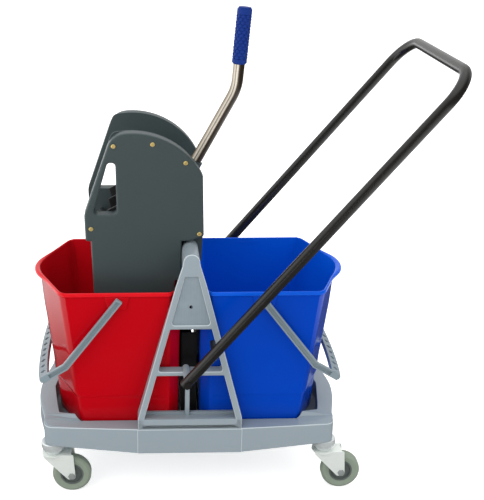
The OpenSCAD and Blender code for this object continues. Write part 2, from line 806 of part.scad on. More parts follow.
module press_jaw() {
    knuckle_r = hinge_rod_d / 2 + 4;
    color([0.07, 0.07, 0.08]) translate([hinge.x, 0, hinge.y]) rotate([0, jaw_lean, 0]) difference() {
        union() {
            difference() {
                translate([-jaw_t / 2, -press_half, 0]) cube([jaw_t, 2 * press_half, jaw_l]);
                press_slots(jaw_l, jaw_t);
            }
            rod_y([0, 0], knuckle_r, -press_half, press_half);
            translate([jaw_t / 2 - eps, -follower_w / 2, roller_in_jaw.y - follower_h / 2])
                cube([follower_x - jaw_t / 2 + eps, follower_w, follower_h]);
        }
        rod_y([0, 0], hinge_rod_d / 2 + run_gap, -panel_out, panel_out);
    }
}

module jaw_hinge_rod() {
    color([0.75, 0.76, 0.78]) rod_y(hinge, hinge_rod_d / 2, -panel_out, panel_out);
}

module tie_rods() {
    color([0.75, 0.76, 0.78]) for (p = rod_at) {
        rod_y(p, rod_r, -panel_in, panel_in);
        rod_y(p, rod_end_r, -panel_out - 4, panel_out + 4);
    }
}

module cover_screws() {
    head_h = 2.2;
    color([0.72, 0.56, 0.28]) mirrored_y() for (p = screw_at) {
        rod_y(p, cover_screw_d / 2, -wringer_half_w - head_h, -wringer_half_w);
        rod_y(p, screw_r, -wringer_half_w - eps, -screw_end - run_gap);
    }
}

module shaft_bushes() {
    color([0.85, 0.85, 0.82]) mirrored_y() difference() {
        union() {
            rod_y(shaft, bush_r, -panel_out, -panel_in);
            rod_y(shaft, bush_r + bush_flange_w, -panel_in, -panel_in + bush_flange_t);
        }
        rod_y(shaft, shaft_d / 2 + run_gap, -panel_out - 1, -panel_in + bush_flange_t + 1);
    }
}

// Lever, with its shaft, yoke and rollers
yoke_half = 30;
yoke_r = shaft_d / 2 + 6;
socket_r = lever_d / 2 + 3.5;
socket_l = 52;
tube_from = 20;
fork_plate = 6;
roller_half = 12;
roller_pin_r = 4;
shaft_end = panel_out + 14;

module at_lever() {
    translate([shaft.x, 0, shaft.y]) rotate([0, lever_lean, 0]) children();
}

module lever_shaft() {
    color([0.75, 0.76, 0.78]) rod_y(shaft, shaft_d / 2, -shaft_end, shaft_end);
}

module lever_yoke() {
    color([0.28, 0.32, 0.33]) difference() {
        union() {
            rod_y(shaft, yoke_r, -yoke_half, yoke_half);
            at_lever() cylinder(r = socket_r, h = socket_l);
            mirrored_y() along_y(-roller_half - fork_plate - part_gap, -roller_half - part_gap)
                polygon(strip([shaft, roller_at + unit(roller_at - shaft) * 6], 7));
        }
        rod_y(shaft, shaft_d / 2 + run_gap, -yoke_half - 1, yoke_half + 1);
        at_lever() translate([0, 0, tube_from]) cylinder(r = lever_d / 2 + run_gap, h = socket_l);
        rod_y(roller_at, roller_pin_r + run_gap, -yoke_half, yoke_half);
    }
}

module press_rollers() {
    color([0.82, 0.82, 0.80]) {
        rod_y(roller_at, roller_d / 2, -roller_half, roller_half);
        rod_y(roller_at, roller_pin_r, -roller_half - fork_plate - 2, roller_half + fork_plate + 2);
    }
}

// Straight and bent runs of the lever's bar, with a core that ties each run to the bend
lever_turn = lever_lean - lever_grip_lean;
lever_tangent = lever_bend_r * tan(lever_turn / 2);
core_half = 6;

module lever_run(r, from) {
    at_lever() {
        translate([0, 0, from]) cylinder(r = r, h = lever_bend_l - lever_tangent - from);
        translate([0, 0, lever_bend_l - lever_tangent - core_half]) cylinder(r = r - 1, h = 2 * core_half);
        translate([-lever_bend_r, 0, lever_bend_l - lever_tangent]) {
            rotate([90, 0, 0]) rotate_extrude(angle = lever_turn) translate([lever_bend_r, 0]) circle(r);
            rotate([0, -lever_turn, 0]) translate([lever_bend_r, 0, 0]) {
                cylinder(r = r, h = lever_top_l - lever_tangent);
                translate([0, 0, -core_half]) cylinder(r = r - 1, h = 2 * core_half);
            }
        }
    }
}

module at_lever_top() {
    at_lever() translate([-lever_bend_r, 0, lever_bend_l - lever_tangent]) rotate([0, -lever_turn, 0])
        translate([lever_bend_r, 0, lever_top_l - lever_tangent]) children();
}

module lever_tube() {
    bore_r = lever_d / 2 - lever_wall;
    bend_wall = 8;
    low_l = lever_bend_l - lever_tangent - tube_from - bend_wall;
    top_l = lever_top_l - lever_tangent - bend_wall;
    color([0.78, 0.79, 0.81]) difference() {
        lever_run(lever_d / 2, tube_from);
        at_lever() translate([0, 0, tube_from - 1]) cylinder(r = bore_r, h = low_l + 1);
        at_lever_top() translate([0, 0, -top_l]) cylinder(r = bore_r, h = top_l + 1);
    }
}

module lever_grip() {
    cap_t = 3;
    bead_r = 1;
    color([0.06, 0.22, 0.68]) at_lever_top() difference() {
        rotate_extrude() polygon(rounded([
            [0, -lever_grip_l, 0],
            [lever_grip_d / 2, -lever_grip_l, 3],
            [lever_grip_d / 2, cap_t, 4],
            [0, cap_t, 0]], 6));
        translate([0, 0, -lever_grip_l - bead_r]) cylinder(d = lever_d + 2 * run_gap, h = lever_grip_l + bead_r);
    }
}

module return_spring() {
    spring_t = 2.5;
    color([0.45, 0.46, 0.48]) difference() {
        rod_y(shaft, shaft_d / 2 + run_gap + spring_t, -shaft_end + 2, -panel_out - part_gap);
        rod_y(shaft, shaft_d / 2 + run_gap, -shaft_end, -panel_out);
    }
}

// Push handle
bolt_head_r = 7;
bolt_head_t = 3.5;
spacer_r = pivot_d / 2 + 2;
tube_tail = 7;
plug_cap_t = 2;
peg_in = frame_face - 4.5;

// Distance along the handle at which the peg meets the right leg's inner edge
peg_at = let (s = sin(handle_lean), c = cos(handle_lean), k = sqrt(1 + leg_slope * leg_slope))
    (leg_in(pivot_z) + pivot_left - (peg_d / 2 + part_gap) * k) / (s + c * leg_slope);

module at_handle() {
    translate([pivot.x, 0, pivot.y]) rotate([0, handle_lean, 0]) children();
}

module handle_run(r, tail) {
    side = handle_half_w - handle_bend_r;
    rise_l = handle_l - handle_bend_r;
    at_handle() {
        for (s = [-1, 1])
            translate([0, s * handle_half_w, -tail]) cylinder(r = r, h = rise_l + tail);
        for (s = [0, 1])
            translate([0, s == 0 ? side : -side, rise_l]) rotate([90, 0, 90]) rotate([0, 0, 90 * s])
                rotate_extrude(angle = 90) translate([handle_bend_r, 0]) circle(r);
        translate([0, side, handle_l]) rotate([90, 0, 0]) cylinder(r = r, h = 2 * side);
    }
}

module handle_tube() {
    color([0.09, 0.09, 0.10]) difference() {
        handle_run(handle_d / 2, tube_tail);
        handle_run(handle_d / 2 - handle_wall, tube_tail + 1);
        rod_y(pivot, pivot_d / 2 + run_gap, -handle_half_w - handle_d, handle_half_w + handle_d);
    }
}

module handle_plugs() {
    color([0.05, 0.05, 0.06]) at_handle() for (s = [-1, 1]) translate([0, s * handle_half_w, -tube_tail]) {
        translate([0, 0, -plug_cap_t]) cylinder(d = handle_d, h = plug_cap_t);
        cylinder(r = handle_d / 2 - handle_wall - run_gap, h = tube_tail - pivot_d / 2 - 1);
    }
}

module handle_stop_pegs() {
    color([0.05, 0.05, 0.06]) mirrored_y() difference() {
        at_handle() translate([0, -peg_in, peg_at]) rotate([90, 0, 0])
            cylinder(d = peg_d, h = handle_half_w - peg_in);
        at_handle() translate([0, -handle_half_w, -tube_tail])
            cylinder(d = handle_d + 2 * run_gap, h = handle_l);
    }
}

module handle_pivot_bolts() {
    color([0.20, 0.20, 0.21]) mirrored_y() {
        outer = handle_half_w + handle_d / 2 + part_gap;
        rod_y(pivot, pivot_d / 2, -outer - 1, -frame_face + bolt_depth);
        rod_y(pivot, bolt_head_r, -outer - bolt_head_t, -outer);
    }
}

module handle_spacers() {
    color([0.57, 0.62, 0.65]) mirrored_y() difference() {
        rod_y(pivot, spacer_r, -handle_in + part_gap, -frame_face);
        rod_y(pivot, pivot_d / 2 + run_gap, -handle_in - 1, -frame_face + 1);
    }
}

// Casters
kingpin_d = 10;
kingpin_up = 16;
cup_top_r = 21;
cup_foot_r = 15;
nut_t = 4;

module at_corner(c) {
    translate([c[1] * caster_x, c[2] * caster_y, 0]) rotate([0, 0, c[3]]) children();
}

module caster_cups() {
    color([0.80, 0.81, 0.83]) for (c = corners) at_corner(c) {
        translate([0, 0, skirt_z - cup_h]) rotate_extrude() polygon(concat(
            [[0, 0], [cup_foot_r, 0]],
            arc([cup_foot_r, cup_h - 3], cup_top_r - cup_foot_r, -90, 0, 6),
            [[cup_top_r, cup_h], [0, cup_h]]));
        translate([0, 0, fork_top_z - fork_t - 4]) cylinder(d = kingpin_d, h = skirt_z - fork_top_z + fork_t + 4 + kingpin_up);
        translate([0, 0, fork_top_z - fork_t - part_gap - 4]) cylinder(d = kingpin_d + 6, h = 4);
    }
}

module fork(c) {
    top_r = fork_top_d / 2;
    tip_half = axle_d / 2 + 3.5;
    color([0.72, 0.74, 0.76]) at_corner(c) difference() {
        union() {
            translate([0, 0, fork_top_z - fork_t]) cylinder(r = top_r, h = fork_t);
            translate([0, -cheek_out, fork_top_z - fork_t])
                cube([trail, 2 * cheek_out, fork_t]);
            mirrored_y() along_y(-cheek_out, -cheek_in) polygon(rounded([
                [-top_r + 3, fork_top_z, 0],
                [-top_r + 5, fork_top_z - 6, 5],
                [trail - tip_half, wheel_r - tip_half, 6],
                [trail + tip_half, wheel_r - tip_half, 6],
                [trail + 4, fork_top_z, 3]], 4));
        }
        translate([0, 0, fork_top_z - fork_t - 1]) cylinder(d = kingpin_d + 2 * run_gap, h = fork_t + 2);
        rod_y([trail, wheel_r], axle_d / 2 + run_gap, -cheek_out - 1, cheek_out + 1);
    }
}

module axle(c) {
    color([0.72, 0.74, 0.76]) at_corner(c) {
        rod_y([trail, wheel_r], axle_d / 2, -cheek_out - nut_t, cheek_out + nut_t);
        mirrored_y() translate([trail, -cheek_out, wheel_r]) rotate([90, 0, 0])
            cylinder(d = 1.75 * axle_d, h = nut_t - 1, $fn = 6);
    }
}

module tyre(c) {
    color([0.62, 0.64, 0.56]) at_corner(c) translate([trail, 0, wheel_r]) rotate([90, 0, 0])
        rotate_extrude() polygon(rounded([
            [hub_r + run_gap, -wheel_w / 2 + 2, 0],
            [wheel_r - 5, -wheel_w / 2, 3],
            [wheel_r, -wheel_w / 2 + 5, 4],
            [wheel_r, wheel_w / 2 - 5, 4],
            [wheel_r - 5, wheel_w / 2, 3],
            [hub_r + run_gap, wheel_w / 2 - 2, 0]], 4));
}

module hub(c) {
    boss = axle_d / 2 + 5;
    color([0.25, 0.26, 0.26]) at_corner(c) translate([trail, 0, wheel_r]) rotate([90, 0, 0])
        rotate_extrude() polygon([
            [axle_d / 2 + run_gap, -cheek_in + part_gap],
            [boss, -cheek_in + part_gap],
            [boss, -wheel_w / 4],
            [hub_r - 4, -wheel_w / 4],
            [hub_r - 3, -wheel_w / 2 + 2],
            [hub_r, -wheel_w / 2 + 2],
            [hub_r, wheel_w / 2 - 2],
            [hub_r - 3, wheel_w / 2 - 2],
            [hub_r - 4, wheel_w / 4],
            [boss, wheel_w / 4],
            [boss, cheek_in - part_gap],
            [axle_d / 2 + run_gap, cheek_in - part_gap]]);
}

at_home() chassis();
at_home() near_a_frame();
at_home() far_a_frame();
at_home() cross_bar();
at_home() frame_bolts();
at_home() handle_pivot_bolts();
at_home() handle_spacers();
at_home() caster_cups();
at_home() handle_tube();
at_home() handle_plugs();
at_home() handle_stop_pegs();
at_home() blue_bucket();
at_home() blue_bail();
at_home() red_bucket();
at_home() red_bail();
at_home() near_cover();
at_home() far_cover();
at_home() near_panel();
at_home() far_panel();
at_home() rear_hook_wall();
at_home() press_grid();
at_home() tie_rods();
at_home() cover_screws();
at_home() shaft_bushes();
at_home() jaw_hinge_rod();
at_home() press_jaw();
at_home() lever_shaft();
at_home() lever_yoke();
at_home() press_rollers();
at_home() lever_tube();
at_home() lever_grip();
at_home() return_spring();
for (c = corners) {
    at_home() fork(c);
    at_home() axle(c);
    at_home() tyre(c);
    at_home() hub(c);
}
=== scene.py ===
"""Looks of a double mop bucket trolley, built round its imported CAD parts."""
import json
import math

import bmesh
import bpy
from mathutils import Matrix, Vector, kdtree

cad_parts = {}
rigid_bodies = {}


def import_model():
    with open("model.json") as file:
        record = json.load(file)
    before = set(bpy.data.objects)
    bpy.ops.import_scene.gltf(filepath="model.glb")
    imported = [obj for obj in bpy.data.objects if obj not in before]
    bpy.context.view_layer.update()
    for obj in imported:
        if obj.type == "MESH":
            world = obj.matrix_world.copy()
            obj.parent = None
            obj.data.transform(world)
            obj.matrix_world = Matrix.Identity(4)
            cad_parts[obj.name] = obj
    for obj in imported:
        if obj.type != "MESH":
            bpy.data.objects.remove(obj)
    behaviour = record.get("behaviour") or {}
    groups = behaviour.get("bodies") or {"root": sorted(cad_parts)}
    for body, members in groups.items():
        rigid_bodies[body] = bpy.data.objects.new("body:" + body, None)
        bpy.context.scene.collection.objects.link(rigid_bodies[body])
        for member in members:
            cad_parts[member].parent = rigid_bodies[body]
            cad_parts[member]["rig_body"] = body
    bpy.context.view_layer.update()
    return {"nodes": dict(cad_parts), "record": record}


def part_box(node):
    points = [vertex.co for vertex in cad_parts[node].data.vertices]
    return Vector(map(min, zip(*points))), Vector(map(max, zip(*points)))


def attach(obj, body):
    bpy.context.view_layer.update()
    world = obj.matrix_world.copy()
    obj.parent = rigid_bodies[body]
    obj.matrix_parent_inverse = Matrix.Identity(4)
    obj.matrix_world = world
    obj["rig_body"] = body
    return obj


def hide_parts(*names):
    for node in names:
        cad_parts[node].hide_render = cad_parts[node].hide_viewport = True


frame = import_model()

MM = 0.001
CAD = frame["nodes"]
SLOT_OF = {part["node"]: part["material_slot"] for part in frame["record"]["subparts"]}
bar_low, bar_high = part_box("cross_bar")
MIDDLE = (bar_low.x + bar_high.x) / 2  # X of the trolley's middle in the row frame


# Small helpers for modelling by hand
SHARP = math.radians(32)  # edges that turn more than this get rounded
MERGE = 2e-6  # points nearer than this become one, in metres


def deselect():
    bpy.ops.object.select_all(action="DESELECT")


def only(obj):
    """Makes obj the one thing that operators act on."""
    deselect()
    obj.select_set(True)
    bpy.context.view_layer.objects.active = obj


def edit(obj):
    only(obj)
    bpy.ops.object.mode_set(mode="EDIT")
    bpy.ops.mesh.select_all(action="SELECT")


def leave_edit():
    bpy.ops.object.mode_set(mode="OBJECT")


def modify(obj, kind, **settings):
    """Adds a modifier and applies it."""
    only(obj)
    modifier = obj.modifiers.new(kind.title(), kind)
    for key, value in settings.items():
        setattr(modifier, key, value)
    bpy.ops.object.modifier_apply(modifier=modifier.name)


def round_edges(obj, width, segments=2):
    """Rounds the sharp edges, width in millimetres."""
    modify(obj, "BEVEL", width=width * MM, segments=segments, limit_method="ANGLE",
           angle_limit=SHARP, use_clamp_overlap=False, harden_normals=False)


def smooth(obj, angle=40):
    only(obj)
    bpy.ops.object.shade_smooth_by_angle(angle=math.radians(angle))
    modify(obj, "WEIGHTED_NORMAL", keep_sharp=True, weight=60)


def settle(obj):
    """Puts the object's place into its mesh."""
    only(obj)
    bpy.ops.object.transform_apply(location=True, rotation=True, scale=True)


def join(name, parts):
    deselect()
    for part in parts:
        part.select_set(True)
    bpy.context.view_layer.objects.active = parts[0]
    bpy.ops.object.join()
    parts[0].name = name
    return parts[0]


def twin(obj):
    """A copy with its own mesh."""
    copy = obj.copy()
    copy.data = obj.data.copy()
    bpy.context.scene.collection.objects.link(copy)
    return copy


def half_turn(obj):
    """Turns a piece half round the trolley's middle."""
    obj.location = (2 * MIDDLE, 0, 0)
    obj.rotation_euler = (0, 0, math.pi)
    settle(obj)


def face_outwards(obj):
    edit(obj)
    bpy.ops.mesh.normals_make_consistent(inside=False)
    leave_edit()


def place(x, y, z):
    """A point in millimetres from the trolley's middle, in the row frame's metres."""
    return Vector((MIDDLE + x * MM, y * MM, z * MM))


def skin(rings):
    """A closed form: a filled circle, shaped to the first ring and extruded through the others."""
    deselect()
    bpy.ops.mesh.primitive_circle_add(vertices=len(rings[0]), radius=1.0, fill_type="NGON")
    form = bpy.context.object
    for vertex, point in zip(form.data.vertices, rings[0]):
        vertex.co = point
    edit(form)
    for old, new in zip(rings, rings[1:]):
        bpy.ops.mesh.extrude_region_move()
        nearest = kdtree.KDTree(len(old))
        for i, point in enumerate(old):
            nearest.insert(point, i)
        nearest.balance()
        mesh = bmesh.from_edit_mesh(form.data)
        for vertex in mesh.verts:
            if vertex.select:
                vertex.co = new[nearest.find(vertex.co)[1]]
        bmesh.update_edit_mesh(form.data)
    leave_edit()
    face_outwards(form)
    return form


def tube(path, radius, sides=32):
    """A round bar along a path of points, radius in millimetres."""
    rings = []
    across = (path[1] - path[0]).orthogonal()
    for i, point in enumerate(path):
        ahead = (path[min(i + 1, len(path) - 1)] - path[max(i - 1, 0)]).normalized()
        across = (across - ahead * across.dot(ahead)).normalized()
        up = ahead.cross(across)
        turns = [math.tau * k / sides for k in range(sides)]
        rings.append([point + (across * math.cos(a) + up * math.sin(a)) * radius * MM
                      for a in turns])
    return skin(rings)


def plate(loops, thickness, rounding):
    """A plate with rounded edges round the origin, from outlines in X and Y.

    The outlines after the first are holes.
    """
    deselect()
    bpy.ops.curve.primitive_bezier_circle_add()
    shape = bpy.context.object.data
    shape.splines.clear()
    shape.dimensions = "2D"
    shape.fill_mode = "BOTH"
    for loop in loops:
        line = shape.splines.new("POLY")
        line.points.add(len(loop) - 1)
        for point, corner in zip(line.points, loop):
            point.co = (corner[0] * MM, corner[1] * MM, 0, 1)
        line.use_cyclic_u = True
    shape.extrude = (thickness / 2 - rounding) * MM
    shape.bevel_depth = rounding * MM
    shape.bevel_resolution = 2
    shape.offset = -rounding * MM
    bpy.ops.object.convert(target="MESH")
    form = bpy.context.object
    edit(form)
    bpy.ops.mesh.remove_doubles(threshold=MERGE)
    bpy.ops.mesh.normals_make_consistent(inside=False)
    leave_edit()
    return form


def upright_plate(loops, front, back, rounding):
    """A plate across Y, from outlines in X and Z."""
    form = plate(loops, abs(back - front), rounding)
    form.rotation_euler = (math.pi / 2, 0, 0)
    form.location = place(0, (front + back) / 2, 0)
    settle(form)
    return form


def level_plate(loops, low, high, rounding):
    """A plate across Z, from outlines in X and Y."""
    form = plate(loops, high - low, rounding)
    form.location = place(0, 0, (low + high) / 2)
    settle(form)
    return form


def block(low, high, rounding):
    """A box between two corners in millimetres, with rounded edges."""
    middle = place(*[(a + b) / 2 for a, b in zip(low, high)])
    deselect()
    bpy.ops.mesh.primitive_cube_add(size=MM, location=middle,
                                    scale=[b - a for a, b in zip(low, high)])
    box = bpy.context.object
    settle(box)
    round_edges(box, rounding)
    return box


def far_twin(obj, name):
    """The same piece on the far side."""
    copy = twin(obj)
    copy.name = name
    copy.scale = (1, -1, 1)
    settle(copy)
    face_outwards(copy)
    return copy


def paint(obj, material):
    obj.data.materials.clear()
    obj.data.materials.append(material)


def fit(obj, body, nodes, material=None):
    """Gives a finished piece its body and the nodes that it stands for.

    The material is left out where the piece's parts have their own.
    """
    if material:
        paint(obj, material)
    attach(obj, body)
    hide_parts(*nodes)


# Finishes
def linear(red, green, blue):
    """A colour as seen on a screen, 0 to 255, as the shader takes it."""
    def channel(value):
        value /= 255
        return value / 12.92 if value <= 0.04045 else ((value + 0.055) / 1.055) ** 2.4
    return channel(red), channel(green), channel(blue), 1.0


def add(tree, kind, **inputs):
    """Adds a node; inputs are values or output sockets, by name."""
    node = tree.nodes.new(kind)
    for name, value in inputs.items():
        wire(tree, node, name.replace("_", " "), value)
    return node


def wire(tree, node, name, value):
    socket = node.inputs[int(name[1:])] if name[0] == "#" else node.inputs[name]
    if isinstance(value, bpy.types.NodeSocket):
        tree.links.new(value, socket)
    else:
        socket.default_value = value


def math_node(tree, operation, a, b):
    node = tree.nodes.new("ShaderNodeMath")
    node.operation = operation
    wire(tree, node, "#0", a)
    wire(tree, node, "#1", b)
    return node.outputs[0]


def ramp(tree, value, low, high, at_low, at_high):
    """A value that goes from at_low to at_high as the given one goes from low to high."""
    node = add(tree, "ShaderNodeMapRange", Value=value)
    for name, number in (("From Min", low), ("From Max", high),
                         ("To Min", at_low), ("To Max", at_high)):
        node.inputs[name].default_value = number
    return node.outputs[0]


def mix_colour(tree, factor, a, b):
    node = tree.nodes.new("ShaderNodeMix")
    node.data_type = "RGBA"
    wire(tree, node, "#0", factor)
    wire(tree, node, "#6", a)
    wire(tree, node, "#7", b)
    return node.outputs[2]


def new_group(name, inputs, outputs):
    group = bpy.data.node_groups.new(name, "ShaderNodeTree")
    for label, kind in inputs:
        group.interface.new_socket(label, in_out="INPUT", socket_type="NodeSocket" + kind)
    for label, kind in outputs:
        group.interface.new_socket(label, in_out="OUTPUT", socket_type="NodeSocket" + kind)
    return group, group.nodes.new("NodeGroupInput").outputs, group.nodes.new("NodeGroupOutput")


def noise(tree, vector, scale, detail):
    node = add(tree, "ShaderNodeTexNoise", Vector=vector, Scale=scale, Detail=detail)
    return node.outputs["Fac"]


def spread_gloss(tree, given, pattern):
    """The given roughness, a little more or less where the pattern is high or low."""
    change = math_node(tree, "MULTIPLY", math_node(tree, "SUBTRACT", pattern, 0.5), given["Spread"])
    return math_node(tree, "ADD", given["Roughness"], change)


def moulded_grain_group():
    """Fine spark-eroded grain, soft cloudy shade and a little spread in gloss."""
    tree, given, out = new_group(
        "moulded_grain",
        [("Vector", "Vector"), ("Colour", "Color"), ("Shade", "Color"), ("Cloud", "Float"),
         ("Grain", "Float"), ("Roughness", "Float"), ("Spread", "Float")],
        [("Colour", "Color"), ("Roughness", "Float"), ("Height", "Float")])
    cloud = noise(tree, given["Vector"], 9.0, 3.0)
    grain = noise(tree, given["Vector"], given["Grain"], 2.0)
    patch = math_node(tree, "MULTIPLY", cloud, given["Cloud"])
    wire(tree, out, "Colour", mix_colour(tree, patch, given["Colour"], given["Shade"]))
    wire(tree, out, "Roughness", spread_gloss(tree, given, cloud))
    wire(tree, out, "Height", grain)
    return tree


def drawn_metal_group():
    """Faint lines and patches of plated or drawn metal."""
    tree, given, out = new_group(
        "drawn_metal",
        [("Vector", "Vector"), ("Colour", "Color"), ("Shade", "Color"), ("Roughness", "Float"),
         ("Spread", "Float"), ("Stretch", "Vector")],
        [("Colour", "Color"), ("Roughness", "Float"), ("Height", "Float")])
    drawn = add(tree, "ShaderNodeMapping", Vector=given["Vector"], Scale=given["Stretch"])
    lines = noise(tree, drawn.outputs[0], 1.0, 4.0)
    patch = noise(tree, given["Vector"], 45.0, 3.0)
    both = math_node(tree, "MULTIPLY", lines, patch)
    wire(tree, out, "Colour", mix_colour(tree, both, given["Colour"], given["Shade"]))
    wire(tree, out, "Roughness", spread_gloss(tree, given, lines))
    wire(tree, out, "Height", lines)
    return tree


MOULDED = moulded_grain_group()
DRAWN = drawn_metal_group()


def start_material(name):
    material = bpy.data.materials.new(name)
    material.use_nodes = True
    return material, material.node_tree, material.node_tree.nodes["Principled BSDF"]


def place_group(tree, group, **inputs):
    node = tree.nodes.new("ShaderNodeGroup")
    node.node_tree = group
    coordinates = tree.nodes.new("ShaderNodeTexCoord")
    wire(tree, node, "Vector", coordinates.outputs["Object"])
    for name, value in inputs.items():
        wire(tree, node, name, value)
    return node


def finish_with(tree, shader, effect, strength, depth):
    """Wires an effect's colour, gloss and relief to the shader."""
    tree.links.new(effect.outputs["Colour"], shader.inputs["Base Color"])
    tree.links.new(effect.outputs["Roughness"], shader.inputs["Roughness"])
    bump = add(tree, "ShaderNodeBump", Strength=strength, Distance=depth,
               Height=effect.outputs["Height"])
    tree.links.new(bump.outputs[0], shader.inputs["Normal"])


def moulding(name, colour, shade, roughness, grain=900.0, relief=0.12, specular=0.5):
    """A moulded plastic."""
    material, tree, shader = start_material(name)
    effect = place_group(tree, MOULDED, Colour=linear(*colour), Shade=linear(*shade), Cloud=0.5,
                         Grain=grain, Roughness=roughness, Spread=0.12)
    finish_with(tree, shader, effect, strength=relief, depth=0.0004)
    shader.inputs["Specular IOR Level"].default_value = specular
    return material


def metal(name, colour, shade, roughness, spread=0.1, stretch=(300, 300, 20), relief=0.03,
          metallic=1.0):
    """A plated or drawn metal."""
    material, tree, shader = start_material(name)
    effect = place_group(tree, DRAWN, Colour=linear(*colour), Shade=linear(*shade),
                         Roughness=roughness, Spread=spread, Stretch=stretch)
    finish_with(tree, shader, effect, strength=relief, depth=0.0002)
    shader.inputs["Metallic"].default_value = metallic
    return material


def painted_reflection_chrome(name, way, bands):
    """A bright tube with painted reflections: dark and light bands along it, set by the surface's
    direction in the room, so they shift round the tube when it turns.

    The way points across the tube, and the bands are places from -1 to 1 and their colours.
    """
    material, tree, shader = start_material(name)
    across = tree.nodes.new("ShaderNodeVectorMath")
    across.operation = "DOT_PRODUCT"
    tree.links.new(tree.nodes.new("ShaderNodeNewGeometry").outputs["Normal"], across.inputs[0])
    across.inputs[1].default_value = way
    colours = add(tree, "ShaderNodeValToRGB", Fac=ramp(tree, across.outputs["Value"], -1, 1, 0, 1))
    stops = colours.color_ramp.elements
    while len(stops) < len(bands):
        stops.new(1.0)
    for stop, (position, colour) in zip(stops, bands):
        stop.position, stop.color = (position + 1) / 2, linear(*colour)
    tree.links.new(colours.outputs[0], shader.inputs["Base Color"])
    shader.inputs["Roughness"].default_value = 0.2
    shader.inputs["Metallic"].default_value = 0.25
    return material


def streaked(name, colour, shade, roughness):
    """A moulding with faint upright flow lines."""
    material, tree, shader = start_material(name)
    effect = place_group(tree, DRAWN, Colour=linear(*colour), Shade=linear(*shade),
                         Roughness=roughness, Spread=0.1, Stretch=(420, 420, 7))
    finish_with(tree, shader, effect, strength=0.05, depth=0.0003)
    return material


BUCKET_GRAIN = {"grain": 1500, "relief": 0.02}
# Painted reflections on the lever's chrome: places across the tube and their colours
LEVER_REFLECTION_BANDS = [
    (-1, (120, 110, 96)), (-0.8, (150, 138, 120)), (-0.62, (214, 206, 192)),
    (-0.45, (120, 108, 92)), (-0.3, (226, 218, 204)), (-0.1, (196, 186, 170)),
    (0.02, (70, 60, 48)), (0.25, (42, 34, 26)), (0.7, (52, 44, 34)),
    (0.85, (110, 100, 86)), (0.97, (206, 200, 192))]
FINISH = {
    "grey_moulding": moulding("grey_moulding", (147, 159, 166), (136, 149, 156), 0.42),
    # Near black for the blocks between the buckets, standing for the deep shade there as painted
    # shade
    "painted_shade_black": moulding("painted_shade_black", (14, 14, 16), (10, 10, 12), 0.6),
    "bail_grey": moulding("bail_grey", (130, 145, 152), (118, 133, 140), 0.38),
    # A paler grey for painted highlights on rounded edges
    "highlight_grey": moulding("highlight_grey", (194, 204, 209), (182, 193, 198), 0.36),
    "red_moulding": moulding(
        "red_moulding", (186, 2, 18), (174, 1, 14), 0.12, specular=0.2, **BUCKET_GRAIN),
    "blue_moulding": moulding(
        "blue_moulding", (1, 66, 184), (0, 58, 172), 0.12, specular=0.2, **BUCKET_GRAIN),
    # Paler copies of the bucket colours: a painted highlight on the rims and painted light on the
    # insides
    "red_rim": moulding(
        "red_rim", (212, 14, 28), (204, 10, 24), 0.2, specular=0.22, **BUCKET_GRAIN),
    "blue_rim": moulding(
        "blue_rim", (4, 88, 212), (2, 80, 202), 0.2, specular=0.22, **BUCKET_GRAIN),
    "panel_grey": streaked("panel_grey", (140, 153, 161), (106, 120, 129), 0.5),
    "wringer_grey": moulding(
        "wringer_grey", (58, 71, 72), (50, 61, 63), 0.46, grain=1300, relief=0.2),
    "black_moulding": moulding("black_moulding", (28, 29, 30), (20, 20, 21), 0.45),
    "black_paint": moulding(
        "black_paint", (30, 29, 27), (22, 21, 20), 0.26, grain=1600, relief=0.08),
    "lever_chrome": painted_reflection_chrome("lever_chrome", (0.88, 0, -0.48), LEVER_REFLECTION_BANDS),
    "cup_chrome": metal(
        "cup_chrome", (226, 232, 232), (206, 212, 212), 0.16,
        spread=0.06, relief=0.0, metallic=0.45),
    "zinc": metal(
        "zinc", (244, 249, 244), (228, 235, 230), 0.4,
        spread=0.2, stretch=(60, 60, 260), metallic=0.3),
    "axle_grey": metal("axle_grey", (160, 166, 163), (138, 144, 141), 0.35, metallic=0.3),
    "steel": metal("steel", (190, 191, 193), (165, 166, 168), 0.3, stretch=(200, 12, 200)),
    "brass": metal("brass", (240, 214, 140), (214, 182, 104), 0.3, metallic=0.6),
    "grip_blue": moulding(
        "grip_blue", (14, 50, 130), (9, 40, 112), 0.55, relief=0.15, specular=0.2),
    "nylon": moulding("nylon", (226, 226, 216), (212, 212, 202), 0.4),
    "tyre_grey": moulding(
        "tyre_grey", (138, 150, 134), (124, 136, 121), 0.55, grain=500, relief=0.2),
    "hub_dark": moulding("hub_dark", (96, 104, 100), (80, 88, 85), 0.48),
}


# Pieces whose CAD shape is right get a merged copy with rounded edges
ROUNDED = {  # node: width of the rounding in millimetres
    "cross_bar": 0.6, "near_panel": 0.5, "far_panel": 0.5, "rear_hook_wall": 0.5,
    "press_grid": 0.5, "press_jaw": 0.5, "lever_yoke": 0.8, "red_bail": 0.7, "blue_bail": 0.7,
    "handle_pivot_bolts": 0.6, "handle_plugs": 0.4, "handle_stop_pegs": 0.5, "handle_spacers": 0.4,
    "frame_bolts": 0.5,
}
for corner in ("near_left", "near_right", "far_left", "far_right"):
    ROUNDED.update({corner + "_fork": 0.4, corner + "_axle": 0.5,
                    corner + "_tyre": 0.3, corner + "_hub": 0.4})

BAIL_LIP = 0.8  # depth of a bail's lips, which get a painted highlight, in millimetres
OWN_FINISH = {"red_bail": "bail_grey", "blue_bail": "bail_grey"}
OWN_FINISH.update({node: "axle_grey" for node in ROUNDED if node.endswith("_axle")})


